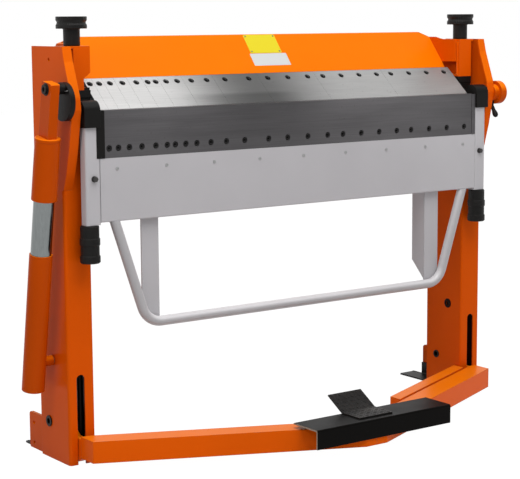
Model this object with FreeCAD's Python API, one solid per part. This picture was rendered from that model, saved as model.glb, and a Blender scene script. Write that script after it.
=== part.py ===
"""Box and pan brake: a sheet bender on two stands, with a clamping beam, an apron and a foot pedal.

Millimetres. X runs along the machine and is 0 at mid length, the operator stands on the -Y side and Z is 0
on the floor. While the pieces are made, Y is 0 on the apron's front face. keep() moves them all to the
shared origin.
"""
import FreeCAD, Part
import math
import os

from FreeCAD import Vector

os.makedirs("parts", exist_ok=True)

# Bend line: the top rear edge of the bending bar, which is also the apron's hinge axis
BEND_Y = 19.0
BEND_Z = 928.0

# Clamping segments from left to right: width, end to first screw, spacing of the screws
SEGMENTS = (
    (25.0, 12.5, 25.0),
    (30.0, 15.0, 25.0),
    (35.0, 17.5, 25.0),
    (40.0, 20.0, 25.0),
    (45.0, 22.5, 25.0),
    (50.0, 12.5, 25.0),
    (75.0, 20.0, 35.0),
    (100.0, 25.0, 50.0),
    (150.0, 35.0, 80.0),
    (200.0, 30.0, 70.0),
    (250.0, 25.0, 66.0),
    (270.0, 30.0, 70.0),
)
HALF_LENGTH = sum(width for width, edge, spacing in SEGMENTS) / 2
SEGMENT_GAP = 0.3
JAW_GAP = 0.5
JAW_SETBACK = 1.2
FACE_ANGLE = 41.0
FACE_LENGTH = 116.6
FINGER_THICKNESS = 22.0
FINGER_SCREW_EDGE = 20.1
SCREW_POCKET_RADIUS = 8.5
SCREW_POCKET_DEPTH = 12.0
FACE_ALONG = Vector(0, math.cos(math.radians(FACE_ANGLE)), math.sin(math.radians(FACE_ANGLE)))
FACE_OUT = Vector(0, -FACE_ALONG.z, FACE_ALONG.y)
FINGER_TIP = Vector(0, BEND_Y + JAW_SETBACK, BEND_Z + JAW_GAP)
FINGER_TOP = FINGER_TIP + FACE_ALONG * FACE_LENGTH

# Clearances between pieces that move against each other
RUNNING_FIT = 0.05
MOVING_GAP = 0.3

# Stands: a folded column, open to the rear, and a head plate that takes its outer wall up past the beam
COLUMN_ROOM = 16.0
COLUMN_INNER_X = HALF_LENGTH + COLUMN_ROOM
COLUMN_WIDTH = 76.0
COLUMN_OUTER_X = COLUMN_INNER_X + COLUMN_WIDTH
COLUMN_SETBACK = 36.0
COLUMN_FRONT_Y = BEND_Y + COLUMN_SETBACK
COLUMN_DEPTH = 155.0
COLUMN_REAR_Y = COLUMN_FRONT_Y + COLUMN_DEPTH
COLUMN_DROP = 28.0
COLUMN_TOP_Z = BEND_Z - COLUMN_DROP
COLUMN_WALL = 5.0
OUTER_PLATE = 8.0
HEAD_RISE = 162.0
HEAD_TOP_Z = BEND_Z + HEAD_RISE
HEAD_DROP = 203.0
HEAD_LOW_Z = BEND_Z - HEAD_DROP
HEAD_FLANGE_WIDTH = 26.0
LIFTING_HOLE_IN = 63.0
LIFTING_HOLE_DROP = 34.0
LIFTING_HOLE_RADIUS = 5.0
SPARE_HOLE_IN = 59.0
SPARE_HOLE_Z = 270.0
SPARE_HOLE_RADIUS = 8.0

# Front edge of the head plate, from its top down: Y, height above the bend line, rounding
HEAD_EDGE = (
    (47.0, HEAD_RISE, 0),
    (37.0, 124.0, 40.0),
    (3.5, 34.0, 40.0),
    (0.0, 3.0, 4.0),
    (8.0, -36.0, 60.0),
    (20.0, -95.0, 60.0),
    (38.0, -160.0, 60.0),
    (COLUMN_FRONT_Y, -HEAD_DROP, 0),
)

# Rear anchor plates and feet
ANCHOR_SEAT = 25.0
ANCHOR_FRONT_Y = COLUMN_REAR_Y - ANCHOR_SEAT
ANCHOR_REACH = 86.0
ANCHOR_REAR_Y = COLUMN_REAR_Y + ANCHOR_REACH
ANCHOR_HEIGHT = 100.0
ANCHOR_THICKNESS = 8.0
ANCHOR_HOLE_IN = 26.0
ANCHOR_HOLE_Y = ANCHOR_REAR_Y - ANCHOR_HOLE_IN
ANCHOR_HOLES_Z = (16.0, 72.0)
ANCHOR_HOLE_RADIUS = 5.5
FOOT_THICKNESS = 5.0
FOOT_HEIGHT = 42.0
FOOT_WIDTH = 60.0
FOOT_START = 5.0
FOOT_REACH = 128.0
FOOT_REAR_Y = COLUMN_REAR_Y + FOOT_REACH

# Bed
BED_SETBACK = 15.0
BED_BEAM_FRONT_Y = BEND_Y + BED_SETBACK
BED_BAR_SEAT = 76.0
BED_BAR_REAR_Y = BED_BEAM_FRONT_Y + BED_BAR_SEAT
BED_BAR_HEIGHT = 25.0
BED_BAR_NOSE = 10.0
BED_BEAM_TOP_Z = BEND_Z - BED_BAR_HEIGHT
BED_BEAM_DEPTH = 156.0
BED_BEAM_REAR_Y = BED_BEAM_FRONT_Y + BED_BEAM_DEPTH
BED_BEAM_HEIGHT = 143.0
BED_BEAM_WALL = 6.0
BED_END_PLATE = 8.0
BED_END_LIP = 10.0
BED_END_DROP = 6.0

# Pedal levers inside the columns, and the rods that they pull
LEVER_ROOM = 30.0
LEVER_INNER_X = COLUMN_INNER_X + LEVER_ROOM
LEVER_THICKNESS = 20.0
LEVER_OUTER_X = LEVER_INNER_X + LEVER_THICKNESS
LEVER_LOW_Z = 8.0
LEVER_HIGH_Z = 71.0
LEVER_EYE_RADIUS = 28.0
LEVER_CHIN = 15.0
LEVER_LOW_BEND = 50.0
LEVER_HIGH_BEND = 85.0
LEVER_BEND_RADIUS = 30.0
LEVER_SLOT_ROOM = 2.0
LEVER_SLOT_TOP_Z = 240.0
LINK_PIN_Z = 40.0
LINK_PIN_RADIUS = 6.0
LINK_SLOT_CLEARANCE = 2.3
LINK_PIN_PLAY = 1.0
LINK_HEAD_RADIUS = 11.3
LINK_HEAD_HEIGHT = 4.0
TIE_ROD_RADIUS = 8.0
TIE_ROD_X = LEVER_INNER_X - LINK_PIN_PLAY - TIE_ROD_RADIUS
TIE_ROD_IN = 39.0
TIE_ROD_Y = COLUMN_FRONT_Y + TIE_ROD_IN
ROD_EYE_HALF = 12.0
ROD_EYE_DROP = 13.0
ROD_EYE_RISE = 20.0
GUIDE_BUSH_RADIUS = 14.0
GUIDE_BUSH_HEIGHT = 28.0
CAP_LIP = 26.0

# Clamping beam and its end brackets
BEAM_SETBACK = 9.8
BEAM_FACE_LOW = (FINGER_TOP.y + BEAM_SETBACK, FINGER_TOP.z)
BEAM_FACE_DEPTH = 85.0
BEAM_FACE_RISE = 107.0
BEAM_RIDGE = (BEAM_FACE_LOW[0] + BEAM_FACE_DEPTH, BEAM_FACE_LOW[1] + BEAM_FACE_RISE)
BEAM_RIDGE_WIDTH = 13.0
BEAM_BACK_DEPTH = 27.0
BEAM_REAR_Y = BEAM_RIDGE[0] + BEAM_RIDGE_WIDTH + BEAM_BACK_DEPTH
BEAM_BACK_DROP = 22.0
BEAM_REAR_TOP_Z = BEAM_RIDGE[1] - BEAM_BACK_DROP
BEAM_BELLY = 30.0
BEAM_UNDERSIDE_Z = BEAM_FACE_LOW[1] - BEAM_BELLY
BEAM_BELLY_SETBACK = 17.0
BEAM_LOWER_FRONT_Y = BEAM_FACE_LOW[0] + BEAM_BELLY_SETBACK
BEAM_WALL = 6.0
BEAM_FOLD = 8.0
BEAM_SHORT = 2.0
BEAM_HALF_LENGTH = HALF_LENGTH - BEAM_SHORT
BEAM_CHEEK = 6.0
CHEEK_NOTCH = 18.0
CHEEK_NOTCH_Z = BEAM_FACE_LOW[1] + CHEEK_NOTCH
CHEEK_SWEEP = 90.0
RIDGE_CUT_LENGTH = 42.0
RIDGE_CUT_DROP = 18.0
HOLDER_OVERLAP = 8.4
HOLDER_WIDTH = 55.0
HOLDER_THICKNESS = 20.0
BRACKET_PLATE = 6.0
BRACKET_ROD_ROOM = 1.0
BRACKET_INNER_X = BEAM_HALF_LENGTH + BEAM_CHEEK
BRACKET_OUTER_X = TIE_ROD_X + TIE_ROD_RADIUS + BRACKET_ROD_ROOM + BRACKET_PLATE
BRACKET_FRONT = 34.0
BRACKET_FRONT_Y = TIE_ROD_Y - BRACKET_FRONT
BRACKET_REAR = 46.0
BRACKET_REAR_Y = TIE_ROD_Y + BRACKET_REAR
BRACKET_TOP_OVERHANG = 12.0
BRACKET_LIFT = 50.0
BRACKET_BOTTOM_Z = BEND_Z + BRACKET_LIFT
BRACKET_TAIL = 50.0
BRACKET_TAIL_HEIGHT = 57.0
BRACKET_NOTCH_WIDTH = 19.0
BRACKET_NOTCH_HEIGHT = 45.0
BRACKET_NOTCH_SLANT = 15.0
CHEEK_SET_BACK = 2 * BRACKET_PLATE
BLOCK_HEIGHT = 22.0
BLOCK_BOTTOM_Z = BRACKET_BOTTOM_Z - BLOCK_HEIGHT
BLOCK_REAR = 36.0
BLOCK_REAR_Y = TIE_ROD_Y + BLOCK_REAR

# Pressure knobs on top of the tie rods
KNOB_RADIUS = 40.0
KNOB_GROOVE = 4.0
KNOB_COLLAR_RADIUS = 21.5
KNOB_COLLAR_HEIGHT = 44.0
KNOB_DISC_BOTTOM_Z = HEAD_TOP_Z + KNOB_COLLAR_HEIGHT
KNOB_DISC_HEIGHT = 31.0
KNOB_TOP_Z = KNOB_DISC_BOTTOM_Z + KNOB_DISC_HEIGHT
KNOB_ROOF = 15.0
KNOB_RIM = 9.0

# Apron
APRON_OVERHANG = 14.0
APRON_HALF_LENGTH = HALF_LENGTH + APRON_OVERHANG
APRON_PLATE = 6.0
APRON_FOOT_DEPTH = 60.0
APRON_FOOT_HEIGHT = 40.0
BAR_HEIGHT = 122.0
BAR_BOTTOM_Z = BEND_Z - BAR_HEIGHT
BAR_SCREW_RISE = 24.8
BAR_SCREW_Z = BAR_BOTTOM_Z + BAR_SCREW_RISE
APRON_DROP = 164.0
APRON_BOTTOM_Z = BAR_BOTTOM_Z - APRON_DROP
BACKING_PLATE = 8.0
BACKING_DROP = 33.0
BACKING_TOP_Z = BEND_Z - BACKING_DROP
POST_SEAM = 1.0
POST_INNER_X = APRON_HALF_LENGTH + POST_SEAM
POST_WIDTH = 42.0
POST_OUTER_X = POST_INNER_X + POST_WIDTH
POST_DEPTH = 30.0
POST_FOOT = 6.0
POST_BOTTOM_Z = APRON_BOTTOM_Z - POST_FOOT
HINGE_BLOCK_DROP = 42.0
POST_TOP_Z = BEND_Z - HINGE_BLOCK_DROP
HINGE_BLOCK_RADIUS = 26.0
HINGE_BLOCK_PROUD = 4.0
HINGE_BLOCK_OUTER_X = POST_OUTER_X + HINGE_BLOCK_PROUD
HINGE_SHAFT_RADIUS = 12.0
HINGE_SHAFT_SEAT = 5.0
HINGE_BOSS_RADIUS = 17.0
HINGE_BOSS_LENGTH = 10.0
POST_BOLT_IN = 24.0
POST_BOLT_X = POST_OUTER_X - POST_BOLT_IN
POST_BOLT_DROP = 51.0
POST_BOLT_Z = BAR_BOTTOM_Z - POST_BOLT_DROP
POST_BOLT_RADIUS = 7.0
POST_BOLT_HEIGHT = 8.0
POST_WASHER_RADIUS = 8.0
POST_WASHER_HEIGHT = 2.0

# Adjusters: a sleeve with two knurled bands on the stud under each post
ADJUSTER_IN = 17.0
ADJUSTER_X = POST_OUTER_X - ADJUSTER_IN
ADJUSTER_Y = 17.0
ADJUSTER_LENGTH = 98.0
ADJUSTER_BOTTOM_Z = POST_BOTTOM_Z - ADJUSTER_LENGTH
ADJUSTER_RADIUS = 24.5
ADJUSTER_BAND_RADIUS = 26.5
ADJUSTER_BAND = 15.0
ADJUSTER_WAIST = 30.0
ADJUSTER_CHAMFER = 3.0
ADJUSTER_STUD_RADIUS = 8.0
ADJUSTER_FLOOR = 10.0

# Apron handle and its two stiffeners
HANDLE_RADIUS = 13.5
HANDLE_Y = 8.0
HANDLE_IN = 29.0
HANDLE_TOP_X = HALF_LENGTH - HANDLE_IN
HANDLE_SLANT = 92.0
HANDLE_CORNER_X = HANDLE_TOP_X - HANDLE_SLANT
HANDLE_DROP = 277.0
HANDLE_LOW_Z = APRON_BOTTOM_Z - HANDLE_DROP
HANDLE_BEND_RADIUS = 60.0
STIFFENER_IN = 47.0
STIFFENER_INNER_X = HANDLE_CORNER_X - STIFFENER_IN
STIFFENER_WIDTH = 53.0
STIFFENER_OUTER_X = STIFFENER_INNER_X + STIFFENER_WIDTH
STIFFENER_FRONT_Y = 20.0
STIFFENER_DEPTH = 55.0
STIFFENER_REAR_Y = STIFFENER_FRONT_Y + STIFFENER_DEPTH
STIFFENER_PLATE = 4.0
STIFFENER_LIFT = 11.0
STIFFENER_LOW_Z = HANDLE_LOW_Z + STIFFENER_LIFT
STIFFENER_CUT = 56.0
STIFFENER_CUT_Z = STIFFENER_LOW_Z + STIFFENER_CUT

# Counterbalance strut on the left stand, and the crank that works it
STRUT_REACH = 53.0
STRUT_X = COLUMN_OUTER_X + STRUT_REACH
STRUT_PIVOT_IN = 83.0
STRUT_PIVOT_Y = COLUMN_FRONT_Y + STRUT_PIVOT_IN
STRUT_PIVOT_Z = 270.0
CRANK_PIN_FORWARD = 7.0
CRANK_PIN_RISE = 58.0
CRANK_PIN_Y = BEND_Y - CRANK_PIN_FORWARD
CRANK_PIN_Z = BEND_Z + CRANK_PIN_RISE
CRANK_RADIUS = 49.0
CRANK_SETBACK = 5.0
CRANK_RISE = 25.0
CRANK_CENTRE_Y = BEND_Y + CRANK_SETBACK
CRANK_CENTRE_Z = BEND_Z + CRANK_RISE
CRANK_THICKNESS = 14.0
CRANK_GAP = 3.0
CRANK_BOSS_RADIUS = 14.0
CRANK_INNER_X = COLUMN_OUTER_X + CRANK_GAP
CRANK_OUTER_X = CRANK_INNER_X + CRANK_THICKNESS
STRUT_LEAN = math.degrees(math.atan2(STRUT_PIVOT_Y - CRANK_PIN_Y, CRANK_PIN_Z - STRUT_PIVOT_Z))
STRUT_LENGTH = math.hypot(STRUT_PIVOT_Y - CRANK_PIN_Y, CRANK_PIN_Z - STRUT_PIVOT_Z)
STRUT_TUBE_RADIUS = 30.0
STRUT_ROD_RADIUS = 27.0
STRUT_ROD_WALL = 4.0
STRUT_TUBE_LOW = -76.0
STRUT_TUBE_HIGH = 297.0
STRUT_PLUG_HIGH = 30.0
STRUT_ROD_LOW = 150.0
STRUT_ROD_SHOWN = 144.0
STRUT_ROD_SEAT = 20.0
STRUT_SLEEVE_LOW = STRUT_TUBE_HIGH + STRUT_ROD_SHOWN
STRUT_SLEEVE_LENGTH = 163.0
STRUT_SLEEVE_HIGH = STRUT_SLEEVE_LOW + STRUT_SLEEVE_LENGTH
STRUT_SLEEVE_RADIUS = 33.0
STRUT_BAR_WIDTH = 25.0
STRUT_BAR_DEPTH = 48.0
STRUT_BAR_END = 17.0
STRUT_BAR_GAP = 0.5
STRUT_BOLT_RADIUS = 12.0
STRUT_BOLT_HEIGHT = 7.0
STRUT_SHANK_RADIUS = 8.0
STRUT_PIN_RADIUS = 10.0
STRUT_PIN_BOSS_RADIUS = 14.0

# Bend angle stop on the right stand
STOP_NECK_LENGTH = 18.0
STOP_NECK_RADIUS = 25.0
STOP_RING_RADIUS = 35.0
STOP_RING_WIDTH = 24.0
STOP_RING_INNER_X = COLUMN_OUTER_X + STOP_NECK_LENGTH
STOP_RING_OUTER_X = STOP_RING_INNER_X + STOP_RING_WIDTH
STOP_RING_ROUND = 5.0
STOP_BORE_FLOOR = 8.0
STOP_BORE_END_X = STOP_RING_OUTER_X - STOP_BORE_FLOOR
STOP_STEM_RADIUS = 4.0
STOP_STEM_SEAT = 8.0
STOP_HUB_DROP = 2.0
STOP_HUB_LENGTH = 14.0
STOP_HUB_RADIUS = 6.5
STOP_ARM_RADIUS = 3.5
STOP_BALL_RADIUS = 5.5
STOP_LEVER_X = (COLUMN_OUTER_X + STOP_RING_INNER_X) / 2
STOP_LEVER_DROP = 66.0
STOP_LEVER_REACH = 17.0

# Clamping pedal: V frame of box tube, brace, guard and tread
PEDAL_PIVOT_IN = 45.0
PEDAL_PIVOT_Y = COLUMN_REAR_Y - PEDAL_PIVOT_IN
PEDAL_PIVOT_Z = 100.0
PEDAL_PIVOT_RADIUS = 12.0
PEDAL_PIVOT_BORE = 8.0
PEDAL_PIVOT_PROUD = 2.0
PEDAL_COLLAR_RADIUS = 14.5
PEDAL_COLLAR_LENGTH = 3.0
PEDAL_LIFT_ANGLE = 30.0
PEDAL_LOW_Z = 20.0
PEDAL_HEIGHT = 58.0
PEDAL_HIGH_Z = PEDAL_LOW_Z + PEDAL_HEIGHT
PEDAL_WALL = 4.0
PEDAL_CORNER_FORWARD = 75.0
PEDAL_CORNER_Y = COLUMN_FRONT_Y - PEDAL_CORNER_FORWARD
PEDAL_APEX_X = 36.0
PEDAL_APEX_Y = -321.0
PEDAL_ARM_WIDTH = 65.0
PEDAL_SLOPE = (PEDAL_CORNER_Y - PEDAL_APEX_Y) / (LEVER_OUTER_X - PEDAL_APEX_X)
BRACE_GROOVE = 10.0
BRACE_WIDTH = 38.0
BRACE_NEAR_X = 225.0
BRACE_END_ROOM = 2.0
BRACE_FAR_X = COLUMN_INNER_X - BRACE_END_ROOM
BRACE_TIE_LENGTH = 30.0
BRACE_TIE_IN = 10.0
BRACE_TIE_FOOT = 5.0
BRACE_TIE_HEIGHT = 38.0
COVER_LEFT_X = -205.0
COVER_RIGHT_X = 262.0
COVER_DEPTH = 99.0
COVER_REAR_Y = PEDAL_APEX_Y + COVER_DEPTH
COVER_LIFT = 14.0
COVER_TOP_Z = PEDAL_HIGH_Z + COVER_LIFT
COVER_HEIGHT = 52.0
COVER_LOW_Z = COVER_TOP_Z - COVER_HEIGHT
COVER_PLATE = 4.0
COVER_FOLD = 5.0
PACKER_X = 150.0
PACKER_LENGTH = 40.0
PACKER_IN = 12.0
TREAD_LEFT_X = -43.0
TREAD_RIGHT_X = 72.0
TREAD_FRONT_IN = 21.0
TREAD_FRONT_Y = PEDAL_APEX_Y + TREAD_FRONT_IN
TREAD_BEND_IN = 2.0
TREAD_BEND_Y = COVER_REAR_Y - TREAD_BEND_IN
TREAD_SLOPE_LENGTH = 73.0
TREAD_ANGLE = 31.0

# Shared origin: the middle of the machine's overall length and depth
LEFT_REACH = STRUT_X + STRUT_SLEEVE_RADIUS
FRONT_Y = PEDAL_APEX_Y - COVER_PLATE
ORIGIN = Vector((STOP_RING_OUTER_X - LEFT_REACH) / 2, (FRONT_Y + FOOT_REAR_Y) / 2, 0)


def box(x, y, z):
    """Box between two limits on each axis."""
    return Part.makeBox(x[1] - x[0], y[1] - y[0], z[1] - z[0], Vector(x[0], y[0], z[0]))


def cylinder(radius, start, end):
    """Solid cylinder from one end centre to the other."""
    along = end - start
    return Part.makeCylinder(radius, along.Length, start, along)


def wire(points, place):
    """Closed outline through (a, b) or (a, b, radius) corners. place() puts them in space."""
    corners = [(place(p[0], p[1]), p[2] if len(p) > 2 else 0) for p in points]
    ends = []
    for i, (corner, radius) in enumerate(corners):
        if not radius:
            ends.append((corner, corner, None))
            continue
        back = (corners[i - 1][0] - corner).normalize()
        ahead = (corners[(i + 1) % len(corners)][0] - corner).normalize()
        half = back.getAngle(ahead) / 2
        middle = (back + ahead).normalize()
        reach = radius / math.tan(half)
        top = corner + middle * (radius / math.sin(half) - radius)
        ends.append((corner + back * reach, corner + ahead * reach, top))
    edges = []
    for i, (first, last, top) in enumerate(ends):
        if top:
            edges.append(Part.Arc(first, top, last).toShape())
        following = ends[(i + 1) % len(ends)][0]
        if (following - last).Length > 1e-6:
            edges.append(Part.LineSegment(last, following).toShape())
    return Part.Wire(edges)


def profile_x(points, low, high):
    """(Y, Z) outline carried along X."""
    return Part.Face(wire(points, lambda a, b: Vector(low, a, b))).extrude(Vector(high - low, 0, 0))


def profile_y(points, low, high):
    """(X, Z) outline carried along Y."""
    return Part.Face(wire(points, lambda a, b: Vector(a, low, b))).extrude(Vector(0, high - low, 0))


def profile_z(points, low, high):
    """(X, Y) outline carried along Z."""
    return Part.Face(wire(points, lambda a, b: Vector(a, b, low))).extrude(Vector(0, 0, high - low))


def turned(points, x, y):
    """Solid of revolution about a vertical line, from a closed (radius, Z) outline."""
    face = Part.Face(wire(points, lambda a, b: Vector(x + a, y, b)))
    return face.revolve(Vector(x, y, 0), Vector(0, 0, 1), 360)


def keep(node, shape):
    """Moves a finished piece to the shared origin and writes it."""
    shape = shape.removeSplitter()
    shape.translate(ORIGIN * -1)
    if not shape.isValid():
        raise ValueError(node + " is not a valid solid")
    print(node, "solids", len(shape.Solids), "volume", round(shape.Volume))
    shape.exportStep("parts/" + node + ".step")


def mirrored(shape):
    """The same piece for the other side of the machine."""
    return shape.mirror(Vector(0, 0, 0), Vector(1, 0, 0))


def keep_pair(name, right):
    """Writes a piece for the right side and its mirror image for the left."""
    keep(name + "_right", right)
    keep(name + "_left", mirrored(right))


def segments():
    """Left end, right end and screw places of each clamping segment."""
    low = -HALF_LENGTH
    for width, edge, spacing in SEGMENTS:
        row = width - 2 * edge
        gaps = round(row / spacing)
        step = row / max(gaps, 1)
        yield low, low + width, [low + edge + i * step for i in range(gaps + 1)]
        low += width


def column():
    """Right column: folded plate, open at the back, slotted for the pedal's lever. Its cap guides the rod."""
    inside_x = COLUMN_OUTER_X - OUTER_PLATE
    channel = profile_z(
        (
            (COLUMN_INNER_X, COLUMN_FRONT_Y, COLUMN_WALL),
            (COLUMN_OUTER_X, COLUMN_FRONT_Y, OUTER_PLATE),
            (COLUMN_OUTER_X, COLUMN_REAR_Y),
            (inside_x, COLUMN_REAR_Y),
            (inside_x, COLUMN_FRONT_Y + COLUMN_WALL),
            (COLUMN_INNER_X + COLUMN_WALL, COLUMN_FRONT_Y + COLUMN_WALL),
            (COLUMN_INNER_X + COLUMN_WALL, COLUMN_REAR_Y),
            (COLUMN_INNER_X, COLUMN_REAR_Y),
        ),
        0,
        COLUMN_TOP_Z,
    )
    beside_head = box(
        (inside_x, COLUMN_OUTER_X + 1),
        (COLUMN_FRONT_Y - 1, COLUMN_REAR_Y + 1),
        (HEAD_LOW_Z, COLUMN_TOP_Z + 1),
    )
    cap = box(
        (COLUMN_INNER_X, inside_x),
        (COLUMN_FRONT_Y, TIE_ROD_Y + GUIDE_BUSH_RADIUS + CAP_LIP),
        (COLUMN_TOP_Z - OUTER_PLATE, COLUMN_TOP_Z),
    )
    bush_low = Vector(TIE_ROD_X, TIE_ROD_Y, COLUMN_TOP_Z + OUTER_PLATE / 2 - GUIDE_BUSH_HEIGHT)
    bush_high = Vector(TIE_ROD_X, TIE_ROD_Y, COLUMN_TOP_Z + OUTER_PLATE / 2)
    bush = cylinder(GUIDE_BUSH_RADIUS, bush_low, bush_high)
    slot_middle = (LEVER_INNER_X + LEVER_OUTER_X) / 2
    slot_radius = LEVER_THICKNESS / 2 + LEVER_SLOT_ROOM
    slot_depth = (COLUMN_FRONT_Y - 1, COLUMN_FRONT_Y + COLUMN_WALL + 1)
    slot_width = (slot_middle - slot_radius, slot_middle + slot_radius)
    slot = box(slot_width, slot_depth, (-1, LEVER_SLOT_TOP_Z - slot_radius))
    slot_end = cylinder(
        slot_radius,
        Vector(slot_middle, slot_depth[0], LEVER_SLOT_TOP_Z - slot_radius),
        Vector(slot_middle, slot_depth[1], LEVER_SLOT_TOP_Z - slot_radius),
    )
    spare_hole_y = COLUMN_FRONT_Y + SPARE_HOLE_IN
    holes = [
        cylinder(TIE_ROD_RADIUS + RUNNING_FIT, bush_low - Vector(0, 0, 1), bush_high + Vector(0, 0, 1)),
        cylinder(
            PEDAL_PIVOT_RADIUS,
            Vector(COLUMN_INNER_X - 1, PEDAL_PIVOT_Y, PEDAL_PIVOT_Z),
            Vector(COLUMN_OUTER_X + 1, PEDAL_PIVOT_Y, PEDAL_PIVOT_Z),
        ),
        cylinder(
            SPARE_HOLE_RADIUS,
            Vector(COLUMN_INNER_X - 1, spare_hole_y, SPARE_HOLE_Z),
            Vector(COLUMN_INNER_X + COLUMN_WALL + 1, spare_hole_y, SPARE_HOLE_Z),
        ),
    ]
    return channel.cut(beside_head).fuse([cap, bush]).cut([slot, slot_end] + holes)


def head_plate():
    """Right head plate: takes the column's outer wall up past the beam, with a bowed front flange."""
    front = tuple((y, BEND_Z + rise, rounding) for y, rise, rounding in HEAD_EDGE)
    inside_x = COLUMN_OUTER_X - OUTER_PLATE
    back = ((COLUMN_REAR_Y, HEAD_LOW_Z), (COLUMN_REAR_Y, HEAD_TOP_Z))
    head = profile_x(front + back, COLUMN_OUTER_X - HEAD_FLANGE_WIDTH, COLUMN_OUTER_X)
    behind = [(y + COLUMN_WALL, z, rounding) for y, z, rounding in front]
    behind[0] = (behind[0][0], HEAD_TOP_Z + 1)
    behind[-1] = (behind[-1][0], HEAD_LOW_Z - 1)
    behind += [(COLUMN_REAR_Y + 1, HEAD_LOW_Z - 1), (COLUMN_REAR_Y + 1, HEAD_TOP_Z + 1)]
    head = head.cut(profile_x(behind, COLUMN_OUTER_X - HEAD_FLANGE_WIDTH - 1, inside_x))
    beside_column = box(
        (COLUMN_INNER_X, inside_x), (COLUMN_FRONT_Y, COLUMN_REAR_Y), (HEAD_LOW_Z - 1, COLUMN_TOP_Z)
    )
    hinge = Vector(0, BEND_Y, BEND_Z)
    boss_start = hinge + Vector(inside_x - HINGE_BOSS_LENGTH, 0, 0)
    boss = cylinder(HINGE_BOSS_RADIUS, boss_start, hinge + Vector(inside_x, 0, 0))
    lifting_hole_y = COLUMN_FRONT_Y + LIFTING_HOLE_IN
    lifting_hole_z = HEAD_TOP_Z - LIFTING_HOLE_DROP
    holes = [
        cylinder(
            HINGE_SHAFT_RADIUS + RUNNING_FIT,
            boss_start - Vector(1, 0, 0),
            hinge + Vector(COLUMN_OUTER_X + 1, 0, 0),
        ),
        cylinder(
            LIFTING_HOLE_RADIUS,
            Vector(inside_x - 1, lifting_hole_y, lifting_hole_z),
            Vector(COLUMN_OUTER_X + 1, lifting_hole_y, lifting_hole_z),
        ),
    ]
    return head.cut(beside_column).fuse(boss).cut(holes)


right_column = column()
keep("stand_right", right_column)
strut_hole = cylinder(
    STRUT_PIN_RADIUS,
    Vector(-COLUMN_OUTER_X - 1, STRUT_PIVOT_Y, STRUT_PIVOT_Z),
    Vector(-COLUMN_OUTER_X + OUTER_PLATE + 1, STRUT_PIVOT_Y, STRUT_PIVOT_Z),
)
keep("stand_left", mirrored(right_column).cut(strut_hole))
keep_pair("head_plate", head_plate())


def anchor_plate():
    """Flat plate inside the column's outer wall that reaches out of its back, with two fixing holes."""
    outer = COLUMN_OUTER_X - OUTER_PLATE
    inner = outer - ANCHOR_THICKNESS
    outline = (
        (ANCHOR_FRONT_Y, 0),
        (ANCHOR_REAR_Y, 0, 6.0),
        (ANCHOR_REAR_Y, ANCHOR_HEIGHT, 10.0),
        (ANCHOR_FRONT_Y, ANCHOR_HEIGHT),
    )
    plate = profile_x(outline, inner, outer)
    holes = [
        cylinder(
            ANCHOR_HOLE_RADIUS,
            Vector(inner - 1, ANCHOR_HOLE_Y, z),
            Vector(outer + 1, ANCHOR_HOLE_Y, z),
        )
        for z in ANCHOR_HOLES_Z
    ]
    return plate.cut(holes)


def rear_foot():
    """Angle that carries the anchor plate on the floor and steadies the stand to the rear."""
    outer = COLUMN_OUTER_X - OUTER_PLATE - ANCHOR_THICKNESS
    outline = (
        (outer, 0),
        (outer, FOOT_HEIGHT),
        (outer - FOOT_THICKNESS, FOOT_HEIGHT),
        (outer - FOOT_THICKNESS, FOOT_THICKNESS, 4.0),
        (outer - FOOT_WIDTH, FOOT_THICKNESS),
        (outer - FOOT_WIDTH, 0),
    )
    foot = profile_y(outline, COLUMN_REAR_Y + FOOT_START, FOOT_REAR_Y)
    notch = box(
        (outer - FOOT_THICKNESS - 1, outer + 1),
        (ANCHOR_REAR_Y, FOOT_REAR_Y + 1),
        (FOOT_THICKNESS, FOOT_HEIGHT + 1),
    )
    hole = cylinder(
        ANCHOR_HOLE_RADIUS,
        Vector(outer - FOOT_THICKNESS - 1, ANCHOR_HOLE_Y, ANCHOR_HOLES_Z[0]),
        Vector(outer + 1, ANCHOR_HOLE_Y, ANCHOR_HOLES_Z[0]),
    )
    return foot.cut([notch, hole])


def pedal_pivot():
    """Tube through both walls of the column that the pedal's lever turns on, with a collar outside."""
    start = Vector(COLUMN_INNER_X - PEDAL_PIVOT_PROUD, PEDAL_PIVOT_Y, PEDAL_PIVOT_Z)
    end = Vector(COLUMN_OUTER_X + PEDAL_COLLAR_LENGTH, PEDAL_PIVOT_Y, PEDAL_PIVOT_Z)
    collar = cylinder(PEDAL_COLLAR_RADIUS, Vector(COLUMN_OUTER_X, PEDAL_PIVOT_Y, PEDAL_PIVOT_Z), end)
    tube = cylinder(PEDAL_PIVOT_RADIUS, start, end).fuse(collar)
    return tube.cut(cylinder(PEDAL_PIVOT_BORE, start - Vector(1, 0, 0), end + Vector(1, 0, 0)))


keep_pair("anchor_plate", anchor_plate())
keep_pair("rear_foot", rear_foot())
keep_pair("pedal_pivot", pedal_pivot())


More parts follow.
